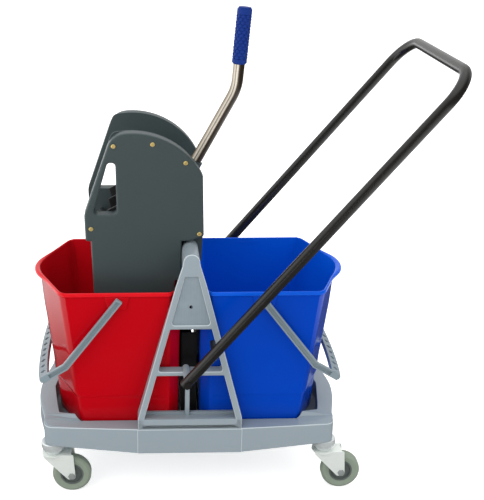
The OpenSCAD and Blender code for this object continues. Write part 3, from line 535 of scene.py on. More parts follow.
def merged_copy(node):
    """A copy of a CAD node's mesh, with its loose triangles merged into whole faces."""
    copy = bpy.data.objects.new(node + "_piece", CAD[node].data.copy())
    bpy.context.scene.collection.objects.link(copy)
    edit(copy)
    bpy.ops.mesh.customdata_custom_splitnormals_clear()
    bpy.ops.mesh.remove_doubles(threshold=MERGE)
    bpy.ops.mesh.dissolve_limited(angle_limit=math.radians(0.3))
    leave_edit()
    return copy


def paint_light_faces(obj, chosen, finish="highlight_grey"):
    """Gives the chosen faces of a painted piece a paler finish, as painted light: painted
    highlights on edges and rims, and painted light inside the buckets.
    """
    obj.data.materials.append(FINISH[finish])
    for face in obj.data.polygons:
        if chosen(face):
            face.material_index = 1


def dress_cad_nodes():
    for node, width in ROUNDED.items():
        piece = merged_copy(node)
        round_edges(piece, width)
        smooth(piece)
        slot = SLOT_OF[node]
        finish = FINISH[OWN_FINISH.get(node, slot)]
        fit(piece, CAD[node]["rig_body"], [node], finish)
        # The bail's outer lips get a painted highlight
        if node.endswith("_bail"):
            side = max(abs(vertex.co.y) for vertex in piece.data.vertices)
            lip = side - BAIL_LIP * MM
            paint_light_faces(piece, lambda face: abs(face.center.y) > lip and abs(face.normal.y) > 0.5)


# Outlines, in millimetres from the trolley's middle
def mix(a, b, t):
    return a + (b - a) * t


def along(table, t):
    """Value of a table of points at t."""
    for (t0, v0), (t1, v1) in zip(table, table[1:]):
        if t <= t1:
            return mix(v0, v1, (t - t0) / (t1 - t0))
    return table[-1][1]


def corner_points(a, b, c, radius, count):
    """Points of the corner at b, rounded."""
    u, v = (a - b).normalized(), (c - b).normalized()
    half = u.angle(v) / 2
    reach = radius / math.tan(half)
    centre = b + (u + v).normalized() * radius / math.sin(half)
    start = b + u * reach - centre
    turn = start.angle_signed(b + v * reach - centre)
    points = []
    for i in range(count + 1):
        angle = -turn * i / count
        points.append(centre + Vector((start.x * math.cos(angle) - start.y * math.sin(angle),
                                       start.x * math.sin(angle) + start.y * math.cos(angle))))
    return points


def rounded(corners, count=5):
    """An outline through corners (point, radius), each rounded by its radius."""
    corners = [(Vector(p), radius) for p, radius in corners]
    points = []
    for i, (p, radius) in enumerate(corners):
        if radius:
            before, after = corners[i - 1][0], corners[(i + 1) % len(corners)][0]
            points += corner_points(before, p, after, radius, count)
        else:
            points.append(p)
    return points


def arc(centre, radius, start, end, steps):
    """Points of an arc from one angle to another."""
    turns = [mix(start, end, i / steps) for i in range(steps + 1)]
    return [(centre[0] + radius * math.cos(a), centre[1] + radius * math.sin(a)) for a in turns]


def circle(centre, radius, count):
    return arc(centre, radius, 0, math.tau, count)[:-1]


# Buckets, modelled over the blue one's seat; the red one is then turned half round
BUCKETS = {  # where the long sides end, at the foot and at the rim, and how far the lip stands out
    "red": ((201, 231), 2.5),
    "blue": ((208, 237), 6),
}
BUCKET_FOOT, BUCKET_RIM = 126.3, 425.0
BUCKET_HALF = (116.5, 146.3)  # half width, at the foot and at the rim
BUCKET_INNER = (20.5, 18)  # place of the inner end, at the foot and at the rim
BUCKET_TIP = (257, 290.8)  # place of the outer end's tip, at the foot and at the rim
BUCKET_MIDDLE = 140
SLANT, SLANT_ROUND = 20, 9  # size and rounding of the slanted inner corners
CREASE, CREASE_IN, CREASE_BEFORE = 204.0, 3, 36  # height, depth, and start before the outer corner
WALL, BAND = 3.0, 2.2  # thickness of the wall, and how far the rim's band stands out
BOW_STEPS = 24
NOSE, NOSE_RAMP = 0.55, 0.35  # share of the half width that the pouring lip takes, and its slope
BELLY = [(0, 0), (0.375, 0.22), (0.665, 0.53), (0.918, 0.86), (1, 1)]
END_FORM = [(0, 1), (0.06, 0.994), (0.12, 0.972), (0.2, 0.926), (0.276, 0.862), (0.35, 0.78),
            (0.424, 0.692), (0.53, 0.57), (0.646, 0.446), (0.78, 0.305), (0.87, 0.21),
            (0.922, 0.15), (0.96, 0.092), (0.985, 0.04), (1, 0)]
BAIL_PIVOT_X = 133.5
PAD_TOP, PAD_LOW, PAD_FACE = BUCKET_RIM - 8, BUCKET_RIM - 33, 148.3
PAD_WIDTH, PAD_FLARE = 32, 6


def height_share(z):
    """Share of a bucket's height at z."""
    return (z - BUCKET_FOOT) / (BUCKET_RIM - BUCKET_FOOT)


def wall_half(z):
    """Half width of a bucket at height z."""
    return mix(*BUCKET_HALF, height_share(z))


def bucket_outline(corners, z, inset, crease, pinch=0):
    """Outline of a bucket's wall at height z, set in by some millimetres.

    The crease sets in the outer end more, the pinch only the middle of that end, below the lip.
    """
    t = height_share(z)
    half, inner, corner = wall_half(z), mix(*BUCKET_INNER, t), mix(*corners, t)
    tip = mix(*BUCKET_TIP, along(BELLY, t))
    bow = []
    for i in range(1, 2 * BOW_STEPS):
        share = i / BOW_STEPS - 1
        nose = min(max((NOSE - abs(share)) / NOSE_RAMP, 0), 1)
        out = mix(corner, tip, along(END_FORM, abs(share))) - pinch * nose * nose * (3 - 2 * nose)
        bow.append(Vector((out, half * share)))
    before = [(Vector((inner, SLANT - half)), SLANT_ROUND),
              (Vector((inner + SLANT, -half)), SLANT_ROUND),
              (Vector((corner - 3, -half)), 0)]
    after = [(Vector((p.x, -p.y)), r) for p, r in reversed(before)]
    points = rounded(before + [(p, 0) for p in bow] + after)
    ring = []
    for i, p in enumerate(points):
        u = (p - points[i - 1]).normalized()
        v = (points[(i + 1) % len(points)] - p).normalized()
        m, n = Vector((-u.y, u.x)), Vector((-v.y, v.x))
        depth = inset + (crease if p.x > corner - CREASE_BEFORE else 0)
        q = p + (m + n) * depth / (1 + m.dot(n))
        ring.append(place(q.x, q.y, z))
    return ring


def bucket_levels(lip):
    """Heights, insets, creases and pinches, for a pouring lip that stands out so many millimetres.

    They go from the foot up the outside, over the rim and down the inside.
    """
    wall = [(z, 0, 0, 0) for z in (CREASE + 5, CREASE + 20, 238, 270, 298, 325)]
    wall += [(350, 0, 0, 0.6), (376, 0, 0, 2), (401, 0, 0, 3.8)]
    rim, foot, floor = BUCKET_RIM, BUCKET_FOOT, BUCKET_FOOT + WALL
    low = [(foot, 5), (foot + 0.8, 2.2), (foot + 3, 0.4), (foot + 8, 0), (160, 0), (CREASE - 6, 0)]
    outside = [(z, inset, CREASE_IN) for z, inset in low]
    outside += [(CREASE - 3, 0, 2.6), (CREASE + 1, 0, 0.4)] + wall
    band = [(rim - 9, 0, 0, 4.2), (rim - 8.4, -0.6, 0, 3.2 - 0.3 * lip),
            (rim - 7.8, -BAND + 0.4, 0, 1.4 - 0.8 * lip), (rim - 6.8, -BAND, 0, 0.3 - lip),
            (rim - 5, -BAND + 0.2, 0, -lip), (rim - 3.2, -BAND + 0.7, 0, -lip),
            (rim - 1.6, -BAND + 1.5, 0, 0.4 - lip), (rim - 0.5, -BAND + 2.4, 0, 1.4 - lip),
            (rim, 0.9, 0, 2.6 - lip), (rim - 0.2, WALL - 1, 0, 3.4 - 0.9 * lip),
            (rim - 0.9, WALL - 0.2, 0, 4 - 0.8 * lip), (rim - 2, WALL, 0, 4.4 - 0.6 * lip)]
    inside = [(z, WALL, 0, pinch) for z, _, _, pinch in reversed(wall)]
    low = [(CREASE - 6, 0), (160, 0), (floor + 7, 0), (floor + 2, 1.4), (floor, 6)]
    inside += [(z, inset + WALL, CREASE_IN) for z, inset in low]
    return outside + band + inside


def bucket(name, corners, lip):
    shell = skin([bucket_outline(corners, *level) for level in bucket_levels(lip)])
    form = join(name, [shell, bail_pad(-1), bail_pad(1)])
    smooth(form, 34)
    return form


def bail_pad(side):
    """Trapezoid under the rim that carries a bail's pin."""
    inner = wall_half(PAD_LOW) - 1
    middle = place(BAIL_PIVOT_X, side * (inner + PAD_FACE) / 2, (PAD_TOP + PAD_LOW) / 2)
    deselect()
    bpy.ops.mesh.primitive_cube_add(size=MM, location=middle,
                                    scale=(PAD_WIDTH, PAD_FACE - inner, PAD_TOP - PAD_LOW))
    pad = bpy.context.object
    settle(pad)
    for vertex in pad.data.vertices:
        if vertex.co.z > middle.z:
            vertex.co.x += math.copysign(PAD_FLARE * MM, vertex.co.x - middle.x)
    round_edges(pad, 1.2, segments=3)
    return pad


def model_buckets():
    for colour, (corners, lip) in BUCKETS.items():
        form = bucket(colour + "_bucket_piece", corners, lip)
        middle = place(BUCKET_MIDDLE, 0, 0)
        if colour == "red":
            half_turn(form)
            middle = place(-BUCKET_MIDDLE, 0, 0)
        node, slot = colour + "_bucket", colour + "_moulding"
        fit(form, node, [node], FINISH[slot])

        # The rim faces get a painted highlight and the inward faces painted light
        def painted_light_rim_or_inside(face):
            rim = face.center.z > (BUCKET_RIM - 7) * MM and face.normal.z > -0.2
            inwards = face.normal.xy.dot(face.center.xy - middle.xy) < 0
            return rim or inwards and abs(face.normal.z) < 0.7
        paint_light_faces(form, painted_light_rim_or_inside, colour + "_rim")


# A frames
FRAME_FACE, FRAME_BACK = 156.5, 149.0
DECK, FOOT_TOP, FRAME_TOP = 150, 171, 501
HEAD_HALF, NECK_HALF, FOOT_HALF = 15, 28, 98
NECK, BAR_FOOT = 440, 461
LEG_SPAN = 11.88
LOWER_RUNG, UPPER_RUNG, RUNG = 262, 356, 8
RIM_STEP = 412  # below this the frame is thicker, up to the bucket's wall
FRAME_ROUND, FRAME_GAP = 2.2, 1.2  # rounding of the edges, gap to the bucket's wall
PANEL_HOLE, PANEL_HOLE_R, PANEL_SUNK = (0, 399), 3.5, 3.5
PIVOT, PIVOT_BOSS = (-8, 271.3), 6.2
POST_X, POST_Y = (-8.5, 0), (-132.5, -124.5)
FOOT_TRAY = 5  # depth of the foot's sunken tray, and width of its rim


def leg_out(z):
    """Half width of an A frame at height z."""
    return mix(FOOT_HALF, NECK_HALF, (z - FOOT_TOP) / (NECK - FOOT_TOP))


def frame_hole(low, high, top_half=None):
    """A window between the legs, narrower at its top."""
    half_low, half_high = leg_out(low) - LEG_SPAN, top_half or leg_out(high) - LEG_SPAN
    corners = [((half_low, low), 5), ((half_high, high), 3),
               ((-half_high, high), 3), ((-half_low, low), 5)]
    return rounded(corners, 4)


def frame_foot():
    """The foot, with a sunken tray in its top."""
    back = -wall_half(DECK) - FRAME_GAP
    foot = block((-FOOT_HALF, -FRAME_FACE, DECK), (FOOT_HALF, back, FOOT_TOP), 2.0)
    edit(foot)
    mesh = bmesh.from_edit_mesh(foot.data)
    for face in mesh.faces:
        face.select = face.normal.z > 0.99
    bmesh.update_edit_mesh(foot.data)
    bpy.ops.mesh.inset(thickness=FOOT_TRAY * MM)
    bpy.ops.mesh.extrude_region_move(TRANSFORM_OT_translate={"value": (0, 0, -FOOT_TRAY * MM)})
    leave_edit()
    return foot


def near_a_frame():
    below, above = RIM_STEP - 7, RIM_STEP + 2
    side = [(FOOT_HALF, DECK - 1.6), (FOOT_HALF, FOOT_TOP), (leg_out(below), below),
            (leg_out(above), above), (NECK_HALF, NECK), (HEAD_HALF + 1.7, BAR_FOOT + 16)]
    head = arc((0, FRAME_TOP - HEAD_HALF), HEAD_HALF, 0, math.pi, 20)
    outline = side + head + [(-x, z) for x, z in reversed(side)]
    panel = frame_hole(UPPER_RUNG + RUNG, BAR_FOOT - 3, 12)
    windows = [frame_hole(LOWER_RUNG + RUNG, UPPER_RUNG), frame_hole(DECK + 11, LOWER_RUNG)]
    legs = upright_plate([outline, panel] + windows, -FRAME_FACE, -FRAME_BACK, FRAME_ROUND)
    for vertex in legs.data.vertices:
        z = vertex.co.z / MM
        if vertex.co.y > -(FRAME_BACK + FRAME_ROUND + 0.1) * MM and z < RIM_STEP:
            vertex.co.y += (FRAME_BACK - wall_half(z) - FRAME_GAP) * MM
    hole = circle(PANEL_HOLE, PANEL_HOLE_R, 24)
    wide = [(x * 1.04, z + (1 if z > 400 else -1)) for x, z in panel]
    sunk = upright_plate([wide, hole], -FRAME_FACE + PANEL_SUNK, -FRAME_BACK, 0.4)
    paint(sunk, FINISH["panel_grey"])
    boss_ends = (FRAME_FACE - 0.2, FRAME_FACE - 1, 140, 138.5)
    boss = tube([place(PIVOT[0], -y, PIVOT[1]) for y in boss_ends], PIVOT_BOSS)
    post = block((POST_X[0], POST_Y[0], FOOT_TOP - 6), (POST_X[1], POST_Y[1], LOWER_RUNG + 1), 0.8)
    parts = [legs, boss, post, frame_foot()]
    for part in parts:
        paint(part, FINISH["grey_moulding"])
    # Painted highlight on the legs' rounded edges that face up or to the sides
    paint_light_faces(legs, lambda face: 0.25 < -face.normal.y < 0.93 and face.normal.z > -0.3)
    return join("near_a_frame_piece", parts + [sunk])


def a_frames():
    near = near_a_frame()
    far = far_twin(near, "far_a_frame_piece")
    for piece, node in ((near, "near_a_frame"), (far, "far_a_frame")):
        smooth(piece)
        fit(piece, "root", [node])


# Tray
SKIRT, TRAY_UNDER, SEAT, RIM_TOP = 98, 122, 126, 162
TRAY_HALF, TRAY_CORNER_X, TRAY_HALF_W, TRAY_CORNER = 295, 277, 142, 18
TRAY_WALL, SKIRT_RISE, FACE_STEP = 4, 13, 1.2
SEAT_END, RIM_START, RIM_SLOPE = 264, 206, 13
RIB_HALF, RIB_HALF_W = 20, 154.5
GUIDE_Y, GUIDE_T, GUIDE_TOP = 92, 6, 322
CASTERS = [(sx * 262, sy * 120) for sx in (-1, 1) for sy in (-1, 1)]
BOSS_RADIUS, COLLAR_RADIUS, CUP_TOP = 24.0, 22.3, 108.5


def tray_outline(inset):
    """The tray's outline: straight by the A frames, then drawn in, with round corners.

    The ends are bowed. All of it is set in by some millimetres.
    """
    bow_half = TRAY_HALF_W - TRAY_CORNER - 12
    end = []
    for i in range(25):
        y = bow_half * (i / 12 - 1)
        bulge = max(math.cos(math.pi / 2 * y / bow_half), 0) ** 1.3
        reach = (TRAY_HALF - TRAY_CORNER_X) * bulge
        end.append((Vector((TRAY_CORNER_X + reach - inset, y)), 0))
    near = [(Vector((FOOT_HALF, inset - FRAME_FACE)), 0),
            (Vector((FOOT_HALF + FACE_STEP, inset + FACE_STEP - FRAME_FACE)), 0),
            (Vector((TRAY_CORNER_X - inset, inset - TRAY_HALF_W)), TRAY_CORNER - inset)]
    far = [(Vector((p.x, -p.y)), r) for p, r in reversed(near)]
    side = near + end + far
    return rounded(side + [(-p, r) for p, r in side], 6)


def seat_outline():
    """The blue bucket's seat, whose square end leaves room round the bucket's bowed end."""
    half = wall_half(DECK) + 1.5
    near = [((19, 21.5 - half), 6), ((40, -half), 6), ((RIM_START + 6, -half), 4),
            ((RIM_START + 13, 7 - half), 4), ((SEAT_END - 15, 13 - half), 5),
            ((SEAT_END - 9, -half * 0.58), 6)]
    corners = near + [((SEAT_END, 0), 8)] + [((x, -y), r) for (x, y), r in reversed(near)]
    return rounded(corners, 4)


def turned(loop):
    """The same outline at the trolley's other end."""
    return [-Vector(p) for p in loop]


def end_rim():
    """The raised rim round the outer end of a seat, which falls away to the tray's edges."""
    outer = [p for p in tray_outline(1.4) if p.x > RIM_START]
    edge = outer[0].y
    outer = [Vector((RIM_START, edge - 5)), Vector((RIM_START + RIM_SLOPE, edge - 4))] + outer
    outer += [Vector((p.x, -p.y)) for p in reversed(outer[:2])]
    inner = [p for p in seat_outline() if p.x > RIM_START + 1]
    inner = [Vector((RIM_START, inner[0].y))] + inner + [Vector((RIM_START, -inner[0].y))]
    form = level_plate([outer + inner[::-1]], DECK - 10, RIM_TOP, 0.7)
    for vertex in form.data.vertices:
        x, y, z = (vertex.co.x - MIDDLE) / MM, abs(vertex.co.y) / MM, vertex.co.z / MM
        if z > DECK:
            to_start, to_side, to_end = RIM_START + RIM_SLOPE - x, y - 120, x - SEAT_END
            vertex.co.z -= max(0, to_start, to_side * 11 / 23, to_end * 6 / 31) * MM
    return form


def caster_boss(x, y):
    """A round boss over a caster, cut off inside the tray's edge."""
    edge = tray_outline(2)
    ring = []
    for way in circle((0, 0), 1, 32):
        way, reach = Vector(way), BOSS_RADIUS
        for a, b in zip(edge, edge[1:] + edge[:1]):
            along_edge, start = b - a, a - Vector((x, y))
            cross = way.x * along_edge.y - way.y * along_edge.x
            if abs(cross) > 1e-9:
                there = (start.x * along_edge.y - start.y * along_edge.x) / cross
                share = (start.x * way.y - start.y * way.x) / cross
                if there > 0 and 0 <= share <= 1:
                    reach = min(reach, there)
        ring.append(Vector((x, y)) + way * reach)
    return level_plate([ring], CUP_TOP - 0.5, TRAY_UNDER + 1, 0.4)


def tray():
    skirt = level_plate([tray_outline(0), tray_outline(TRAY_WALL)], SKIRT, DECK, 1.6)
    for vertex in skirt.data.vertices:
        x = abs(vertex.co.x - MIDDLE) / MM
        if vertex.co.z < (SKIRT + 3) * MM and x > FOOT_HALF:
            vertex.co.z += SKIRT_RISE * (x - FOOT_HALF) / (TRAY_HALF - FOOT_HALF) * MM
    seats = [seat_outline(), turned(seat_outline())]
    slab = level_plate([tray_outline(1.8)] + seats, TRAY_UNDER, DECK, 0.6)
    floor = level_plate([tray_outline(2)], TRAY_UNDER + 0.2, SEAT, 0.4)
    blue_rim = end_rim()
    red_rim = twin(blue_rim)
    half_turn(red_rim)
    parts = [skirt, slab, floor, blue_rim, red_rim]
    parts += [caster_boss(x, y) for x, y in CASTERS]
    rib_low, rib_high = (-RIB_HALF, -RIB_HALF_W, SKIRT), (RIB_HALF, RIB_HALF_W, TRAY_UNDER + 1)
    parts.append(block(rib_low, rib_high, 1.0))
    for part in parts:
        paint(part, FINISH["grey_moulding"])
    # Painted highlight on the skirt's rounded top edge and on the small step beside each A frame's
    # foot
    step = (FOOT_HALF + FACE_STEP / 2) * MM
    paint_light_faces(skirt, lambda face: 0.25 < face.normal.z < 0.93
               or abs(abs(face.center.x - MIDDLE) - step) < MM and abs(face.normal.x) > 0.4)
    # Guides between the buckets, painted near black as painted shade for the deep gap there
    guides = [block((-HEAD_HALF, y, DECK - 1), (HEAD_HALF, y + GUIDE_T, GUIDE_TOP), 1.0)
              for y in (-GUIDE_Y - GUIDE_T, GUIDE_Y)]
    for guide in guides:
        paint(guide, FINISH["painted_shade_black"])
    form = join("chassis_piece", parts + guides)
    smooth(form)
    fit(form, "root", ["chassis"])


def caster_cups():
    """The CAD cups with their kingpins, and a collar on each that reaches up to the tray."""
    cups = merged_copy("caster_cups")
    round_edges(cups, 0.4)
    collars = [level_plate([circle(caster, COLLAR_RADIUS, 48)], SKIRT - 2, CUP_TOP, 2.4)
               for caster in CASTERS]
    form = join("caster_cups_piece", [cups] + collars)
    smooth(form)
    fit(form, "root", ["caster_cups"], FINISH["cup_chrome"])


# Covers of the wringer
COVER_FACE, COVER_BACK = 96.5, 72.0
COVER_ARC = ((-105, 565), 141)  # centre and radius of the round top
COVER_ARC_FROM, COVER_ARC_TO = 22, math.radians(92.8)  # X where it starts, angle where it ends
HAND_HOLD = [((-134, 652), 6.6), ((-148, 652), 6.6), ((-176, 556), 8), ((-132.5, 556), 8)]


def cover_outline():
    centre, radius = COVER_ARC
    start = math.acos((COVER_ARC_FROM - centre[0]) / radius)
    corners = [((-174, 300), 12), ((-32, 300), 12), ((-27, 427), 3), ((-15.6, 431), 1.5),
               ((-15.6, 505), 0), ((-2, 505), 6), ((25, 514), 4)]
    corners += [(p, 0) for p in arc(centre, radius, start, COVER_ARC_TO, 20)]
    corners += [((-140, 703), 36), ((-191.5, 556), 24), ((-190, 506), 4), ((-180.5, 506), 0),
                ((-180.5, 504), 0)]
    return rounded(corners, 6)


def covers():
    near = upright_plate([cover_outline(), rounded(HAND_HOLD)], -COVER_FACE, -COVER_BACK, 3.2)
    near.name = "near_cover_piece"
    far = far_twin(near, "far_cover_piece")
    for piece, node in ((near, "near_cover"), (far, "far_cover")):
        smooth(piece)
        fit(piece, "wringer", [node], FINISH["wringer_grey"])


# Push handle
HANDLE_HALF, HANDLE_LENGTH, HANDLE_BEND, HANDLE_TAIL = 199.5, 719, 60, 7
HANDLE_RADIUS, HANDLE_LEAN = 10, math.radians(39.9)


def handle_tube():
    corner = HANDLE_LENGTH - HANDLE_BEND
    inner = HANDLE_HALF - HANDLE_BEND
    bend = [(corner + HANDLE_BEND * math.sin(a), -inner - HANDLE_BEND * math.cos(a))
            for a in [math.pi / 2 * i / 12 for i in range(13)]]
    straight = [(u, -HANDLE_HALF) for u in (-HANDLE_TAIL, -HANDLE_TAIL + 2, corner - 4)]
    half = straight + bend
    path = half + [(u, -y) for u, y in reversed(half)]
    along_x, along_z = math.sin(HANDLE_LEAN), math.cos(HANDLE_LEAN)
    points = [place(PIVOT[0] + u * along_x, y, PIVOT[1] + u * along_z) for u, y in path]
    handle = tube(points, HANDLE_RADIUS, 36)
    handle.name = "handle_tube_piece"
    smooth(handle, 50)
    fit(handle, "push_handle", ["handle_tube"], FINISH["black_paint"])


# Lever, with a dotted grip
LEVER_SHAFT = (-10.5, 586)
LEVER_LEAN, GRIP_LEAN = 28.5, 4.5
BEND_AT, TOP_FROM_BEND, BEND_RADIUS, LEVER_RADIUS = 203.6, 143.0, 85.0, 10.5
LEVER_START = 20  # place of the tube's lower end along the lever, from its shaft
GRIP_RADIUS, GRIP_LENGTH, GRIP_CAP = 13.5, 98.0, 3.0
GRIP_CORE = GRIP_RADIUS - 1.6
GRIP_BANDS = ((-10, 0), (-GRIP_LENGTH + 2, -GRIP_LENGTH + 9))  # smooth bands at the grip's ends
KNOB, KNOB_ROWS, KNOBS_AROUND = (2.0, 3.6, 3.9), 14, 9
KNOBS_FROM, KNOBS_TO = -GRIP_LENGTH + 12, -13


def lever_tube():
    turn = math.radians(LEVER_LEAN - GRIP_LEAN)
    run = BEND_AT - BEND_RADIUS * math.tan(turn / 2)
    lean = math.radians(LEVER_LEAN)
    x, z = LEVER_SHAFT[0] + run * math.sin(lean), LEVER_SHAFT[1] + run * math.cos(lean)
    path = [(x - reach * math.sin(lean), z - reach * math.cos(lean))
            for reach in (run - LEVER_START, run - LEVER_START - 2, 3)]
    for i in range(13):
        way = lean - turn * i / 12
        path.append((x - BEND_RADIUS * (math.cos(lean) - math.cos(way)),
                     z + BEND_RADIUS * (math.sin(lean) - math.sin(way))))
    x, z = path[-1]
    for reach in (3, TOP_FROM_BEND - BEND_RADIUS * math.tan(turn / 2) - 1):
        path.append((x + reach * math.sin(way), z + reach * math.cos(way)))
    bar = tube([place(px, 0, pz) for px, pz in path], LEVER_RADIUS, 40)
    bar.name = "lever_tube_piece"
    smooth(bar, 50)
    fit(bar, "lever", ["lever_tube"], FINISH["lever_chrome"])


def sleeve(radius, low, high, rounding, segments):
    """A round sleeve about the Z axis."""
    deselect()
    bpy.ops.mesh.primitive_cylinder_add(vertices=48, radius=radius * MM, depth=(high - low) * MM,
                                        location=(0, 0, (low + high) / 2 * MM))
    form = bpy.context.object
    settle(form)
    round_edges(form, rounding, segments)
    return form


def lever_grip():
    core = sleeve(GRIP_CORE, -GRIP_LENGTH, GRIP_CAP, 1.4, 4)
    bands = [sleeve(GRIP_RADIUS, low, high, 0.8, 3) for low, high in GRIP_BANDS]
    deselect()
    bpy.ops.mesh.primitive_uv_sphere_add(segments=10, ring_count=6, radius=MM)
    knob = bpy.context.object
    knobs = []
    for row in range(KNOB_ROWS):
        z = mix(KNOBS_FROM, KNOBS_TO, row / (KNOB_ROWS - 1))
        for k in range(KNOBS_AROUND):
            turn = math.tau * (k + row % 2 / 2) / KNOBS_AROUND
            copy = twin(knob)
            copy.scale = KNOB
            copy.rotation_euler = (0, 0, turn)
            copy.location = Vector((math.cos(turn) * GRIP_CORE, math.sin(turn) * GRIP_CORE, z)) * MM
            settle(copy)
            knobs.append(copy)
    bpy.data.objects.remove(knob)
    grip = join("lever_grip_piece", [core] + bands + knobs)
    lean, top = math.radians(LEVER_LEAN), math.radians(GRIP_LEAN)
    x = LEVER_SHAFT[0] + BEND_AT * math.sin(lean) + TOP_FROM_BEND * math.sin(top)
    z = LEVER_SHAFT[1] + BEND_AT * math.cos(lean) + TOP_FROM_BEND * math.cos(top)
    grip.rotation_euler = (0, top, 0)
    grip.location = place(x, 0, z)
    settle(grip)
    smooth(grip, 50)
    fit(grip, "lever", ["lever_grip"], FINISH["grip_blue"])


# Cross-headed brass screws of the wringer's covers
SCREWS = [(-137, 683), (-68, 686), (-9.4, 652), (-179.5, 530), (16.5, 519)]
SCREW_RADIUS, SCREW_HEIGHT = 4, 2.2
CROSS = ((4.6, 1.6, 0.9), (0.9, 1.6, 4.6))  # sizes of the two slots
SCREW_TURN = math.radians(37)  # each head stands turned by so much more than the one before


def screw_head():
    """A pan head with a cross in it; its face looks along -Y."""
    deselect()
    bpy.ops.mesh.primitive_cylinder_add(vertices=28, radius=SCREW_RADIUS * MM,
                                        depth=SCREW_HEIGHT * MM, rotation=(math.pi / 2, 0, 0))
    head = bpy.context.object
    settle(head)
    round_edges(head, SCREW_HEIGHT / 2, segments=4)
    cutters = []
    for size in CROSS:
        bpy.ops.mesh.primitive_cube_add(size=MM, location=(0, -0.9 * MM, 0), scale=size,
                                        rotation=(0, math.radians(30), 0))
        cutters.append(bpy.context.object)
        settle(cutters[-1])
    for cutter in cutters:
        modify(head, "BOOLEAN", operation="DIFFERENCE", object=cutter, solver="EXACT")
        bpy.data.objects.remove(cutter)
    return head


def cover_screws():
    model = screw_head()
    heads = []
    for side in (-1, 1):
        for i, (x, z) in enumerate(SCREWS):
            head = twin(model)
            head.rotation_euler = (0, SCREW_TURN * i, 0 if side < 0 else math.pi)
            head.location = place(x, side * (COVER_FACE + SCREW_HEIGHT / 2), z)
            settle(head)
            heads.append(head)
    bpy.data.objects.remove(model)
    screws = join("cover_screws_piece", heads)
    smooth(screws)
    fit(screws, "wringer", ["cover_screws"], FINISH["brass"])


dress_cad_nodes()
model_buckets()
a_frames()
tray()
caster_cups()
covers()
handle_tube()
lever_tube()
lever_grip()
cover_screws()
for node, obj in CAD.items():
    if not obj.hide_render:
        paint(obj, FINISH[SLOT_OF[node]])


# Floor, light and camera
FLOOR_SIZE = 60
LAMPS = [  # name, place, aim, size, power
    ("key", (-1.9, -2.0, 2.2), (-0.05, 0, 0.35), 2.2, 28),
    ("fill", (1.9, -1.6, 1.5), (0, 0, 0.35), 1.8, 11),
    ("back", (0.4, 2.0, 2.6), (0, 0, 0.4), 2.0, 16),
]
CAMERA_AT = (MIDDLE - 0.0932, -1.8042, 1.1232)
CAMERA_DOWN, CAMERA_TURN = math.radians(20.38), math.radians(-1.37)


def pale_floor():
    """White to the eye, pale as light; in gloss it is dark, with a shine at the left and right."""
    deselect()
    bpy.ops.mesh.primitive_plane_add(size=FLOOR_SIZE)
    floor = bpy.context.object
    floor.name = "floor"
    material, tree, shader = start_material("pale_floor")
    shader.inputs["Roughness"].default_value = 0.9
    shader.inputs["Specular IOR Level"].default_value = 0.1
    rays = tree.nodes.new("ShaderNodeLightPath")
    pale, dim = (0.82, 0.82, 0.82, 1), (0.05, 0.05, 0.05, 1)
    colour = mix_colour(tree, rays.outputs["Is Glossy Ray"], pale, dim)
    tree.links.new(colour, shader.inputs["Base Color"])
    shader.inputs["Emission Color"].default_value = (1, 1, 1, 1)
    spot = tree.nodes.new("ShaderNodeSeparateXYZ")
    tree.links.new(tree.nodes.new("ShaderNodeTexCoord").outputs["Object"], spot.inputs[0])
    left = ramp(tree, spot.outputs["X"], -1.0, -0.55, 1.9, 0.0)
    right = math_node(tree, "MULTIPLY", ramp(tree, spot.outputs["X"], 0.55, 0.9, 0.0, 1.6),
                      ramp(tree, spot.outputs["X"], 1.3, 1.7, 1.0, 0.0))
    both = math_node(tree, "ADD", left, right)
    shine = math_node(tree, "MULTIPLY", both, rays.outputs["Is Glossy Ray"])
    glow = math_node(tree, "MULTIPLY", rays.outputs["Is Camera Ray"], 0.6)
    tree.links.new(math_node(tree, "ADD", glow, shine), shader.inputs["Emission Strength"])
    material.cycles.emission_sampling = "NONE"
    floor.data.materials.append(material)


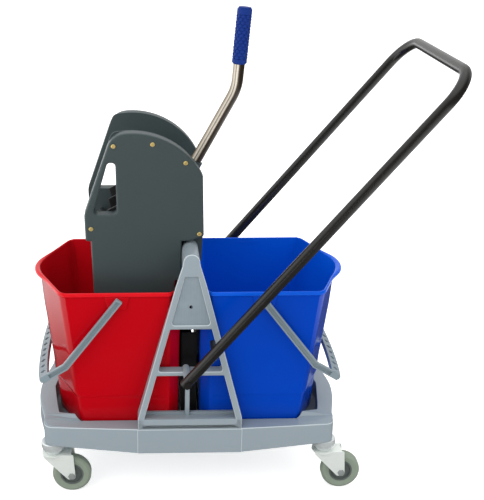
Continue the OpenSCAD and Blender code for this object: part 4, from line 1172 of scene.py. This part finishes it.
def studio_world():
    """White to the eye, softer as light.

    In gloss it is white behind, above and at the left, dimmer at the right, and dark on the
    camera's side.
    """
    world = bpy.data.worlds.new("studio")
    bpy.context.scene.world = world
    world.use_nodes = True
    tree = world.node_tree
    rays = tree.nodes.new("ShaderNodeLightPath")
    glossy = math_node(tree, "MAXIMUM", rays.outputs["Is Glossy Ray"],
                       rays.outputs["Is Transmission Ray"])
    way = tree.nodes.new("ShaderNodeSeparateXYZ")
    tree.links.new(tree.nodes.new("ShaderNodeTexCoord").outputs["Generated"], way.inputs[0])
    behind = ramp(tree, way.outputs["Y"], 0.0, 0.4, 0.03, 1.0)
    above = ramp(tree, way.outputs["Z"], 0.55, 0.85, 0.0, 1.4)
    left = ramp(tree, way.outputs["X"], -0.95, -0.6, 2.0, 0.0)
    bright = math_node(tree, "MAXIMUM", math_node(tree, "MAXIMUM", behind, above), left)
    right = ramp(tree, way.outputs["X"], 0.25, 0.6, 1.0, 0.55)
    soft = ramp(tree, way.outputs["Z"], -0.2, 1.0, 0.5, 1.3)
    light = mix_colour(tree, glossy, soft, math_node(tree, "MULTIPLY", bright, right))
    seen = mix_colour(tree, rays.outputs["Is Camera Ray"], light, (1, 1, 1, 1))
    tree.links.new(seen, tree.nodes["Background"].inputs["Color"])


def soft_lamp(name, spot, aim, size, power):
    data = bpy.data.lights.new(name, "AREA")
    data.size, data.energy = size, power
    lamp = bpy.data.objects.new(name, data)
    bpy.context.scene.collection.objects.link(lamp)
    lamp.visible_glossy = False
    lamp.location = spot
    lamp.rotation_euler = (Vector(aim) - Vector(spot)).to_track_quat("-Z", "Y").to_euler()


def photo_camera():
    data = bpy.data.cameras.new("camera")
    camera = bpy.data.objects.new("camera", data)
    bpy.context.scene.collection.objects.link(camera)
    camera.location = CAMERA_AT
    camera.rotation_euler = (math.pi / 2 - CAMERA_DOWN, 0, CAMERA_TURN)
    data.sensor_width = 36
    data.lens = 72
    data.shift_x = 0.1612
    bpy.context.scene.camera = camera


pale_floor()
studio_world()
for lamp in LAMPS:
    soft_lamp(*lamp)
photo_camera()
bpy.context.scene.view_settings.view_transform = "Standard"
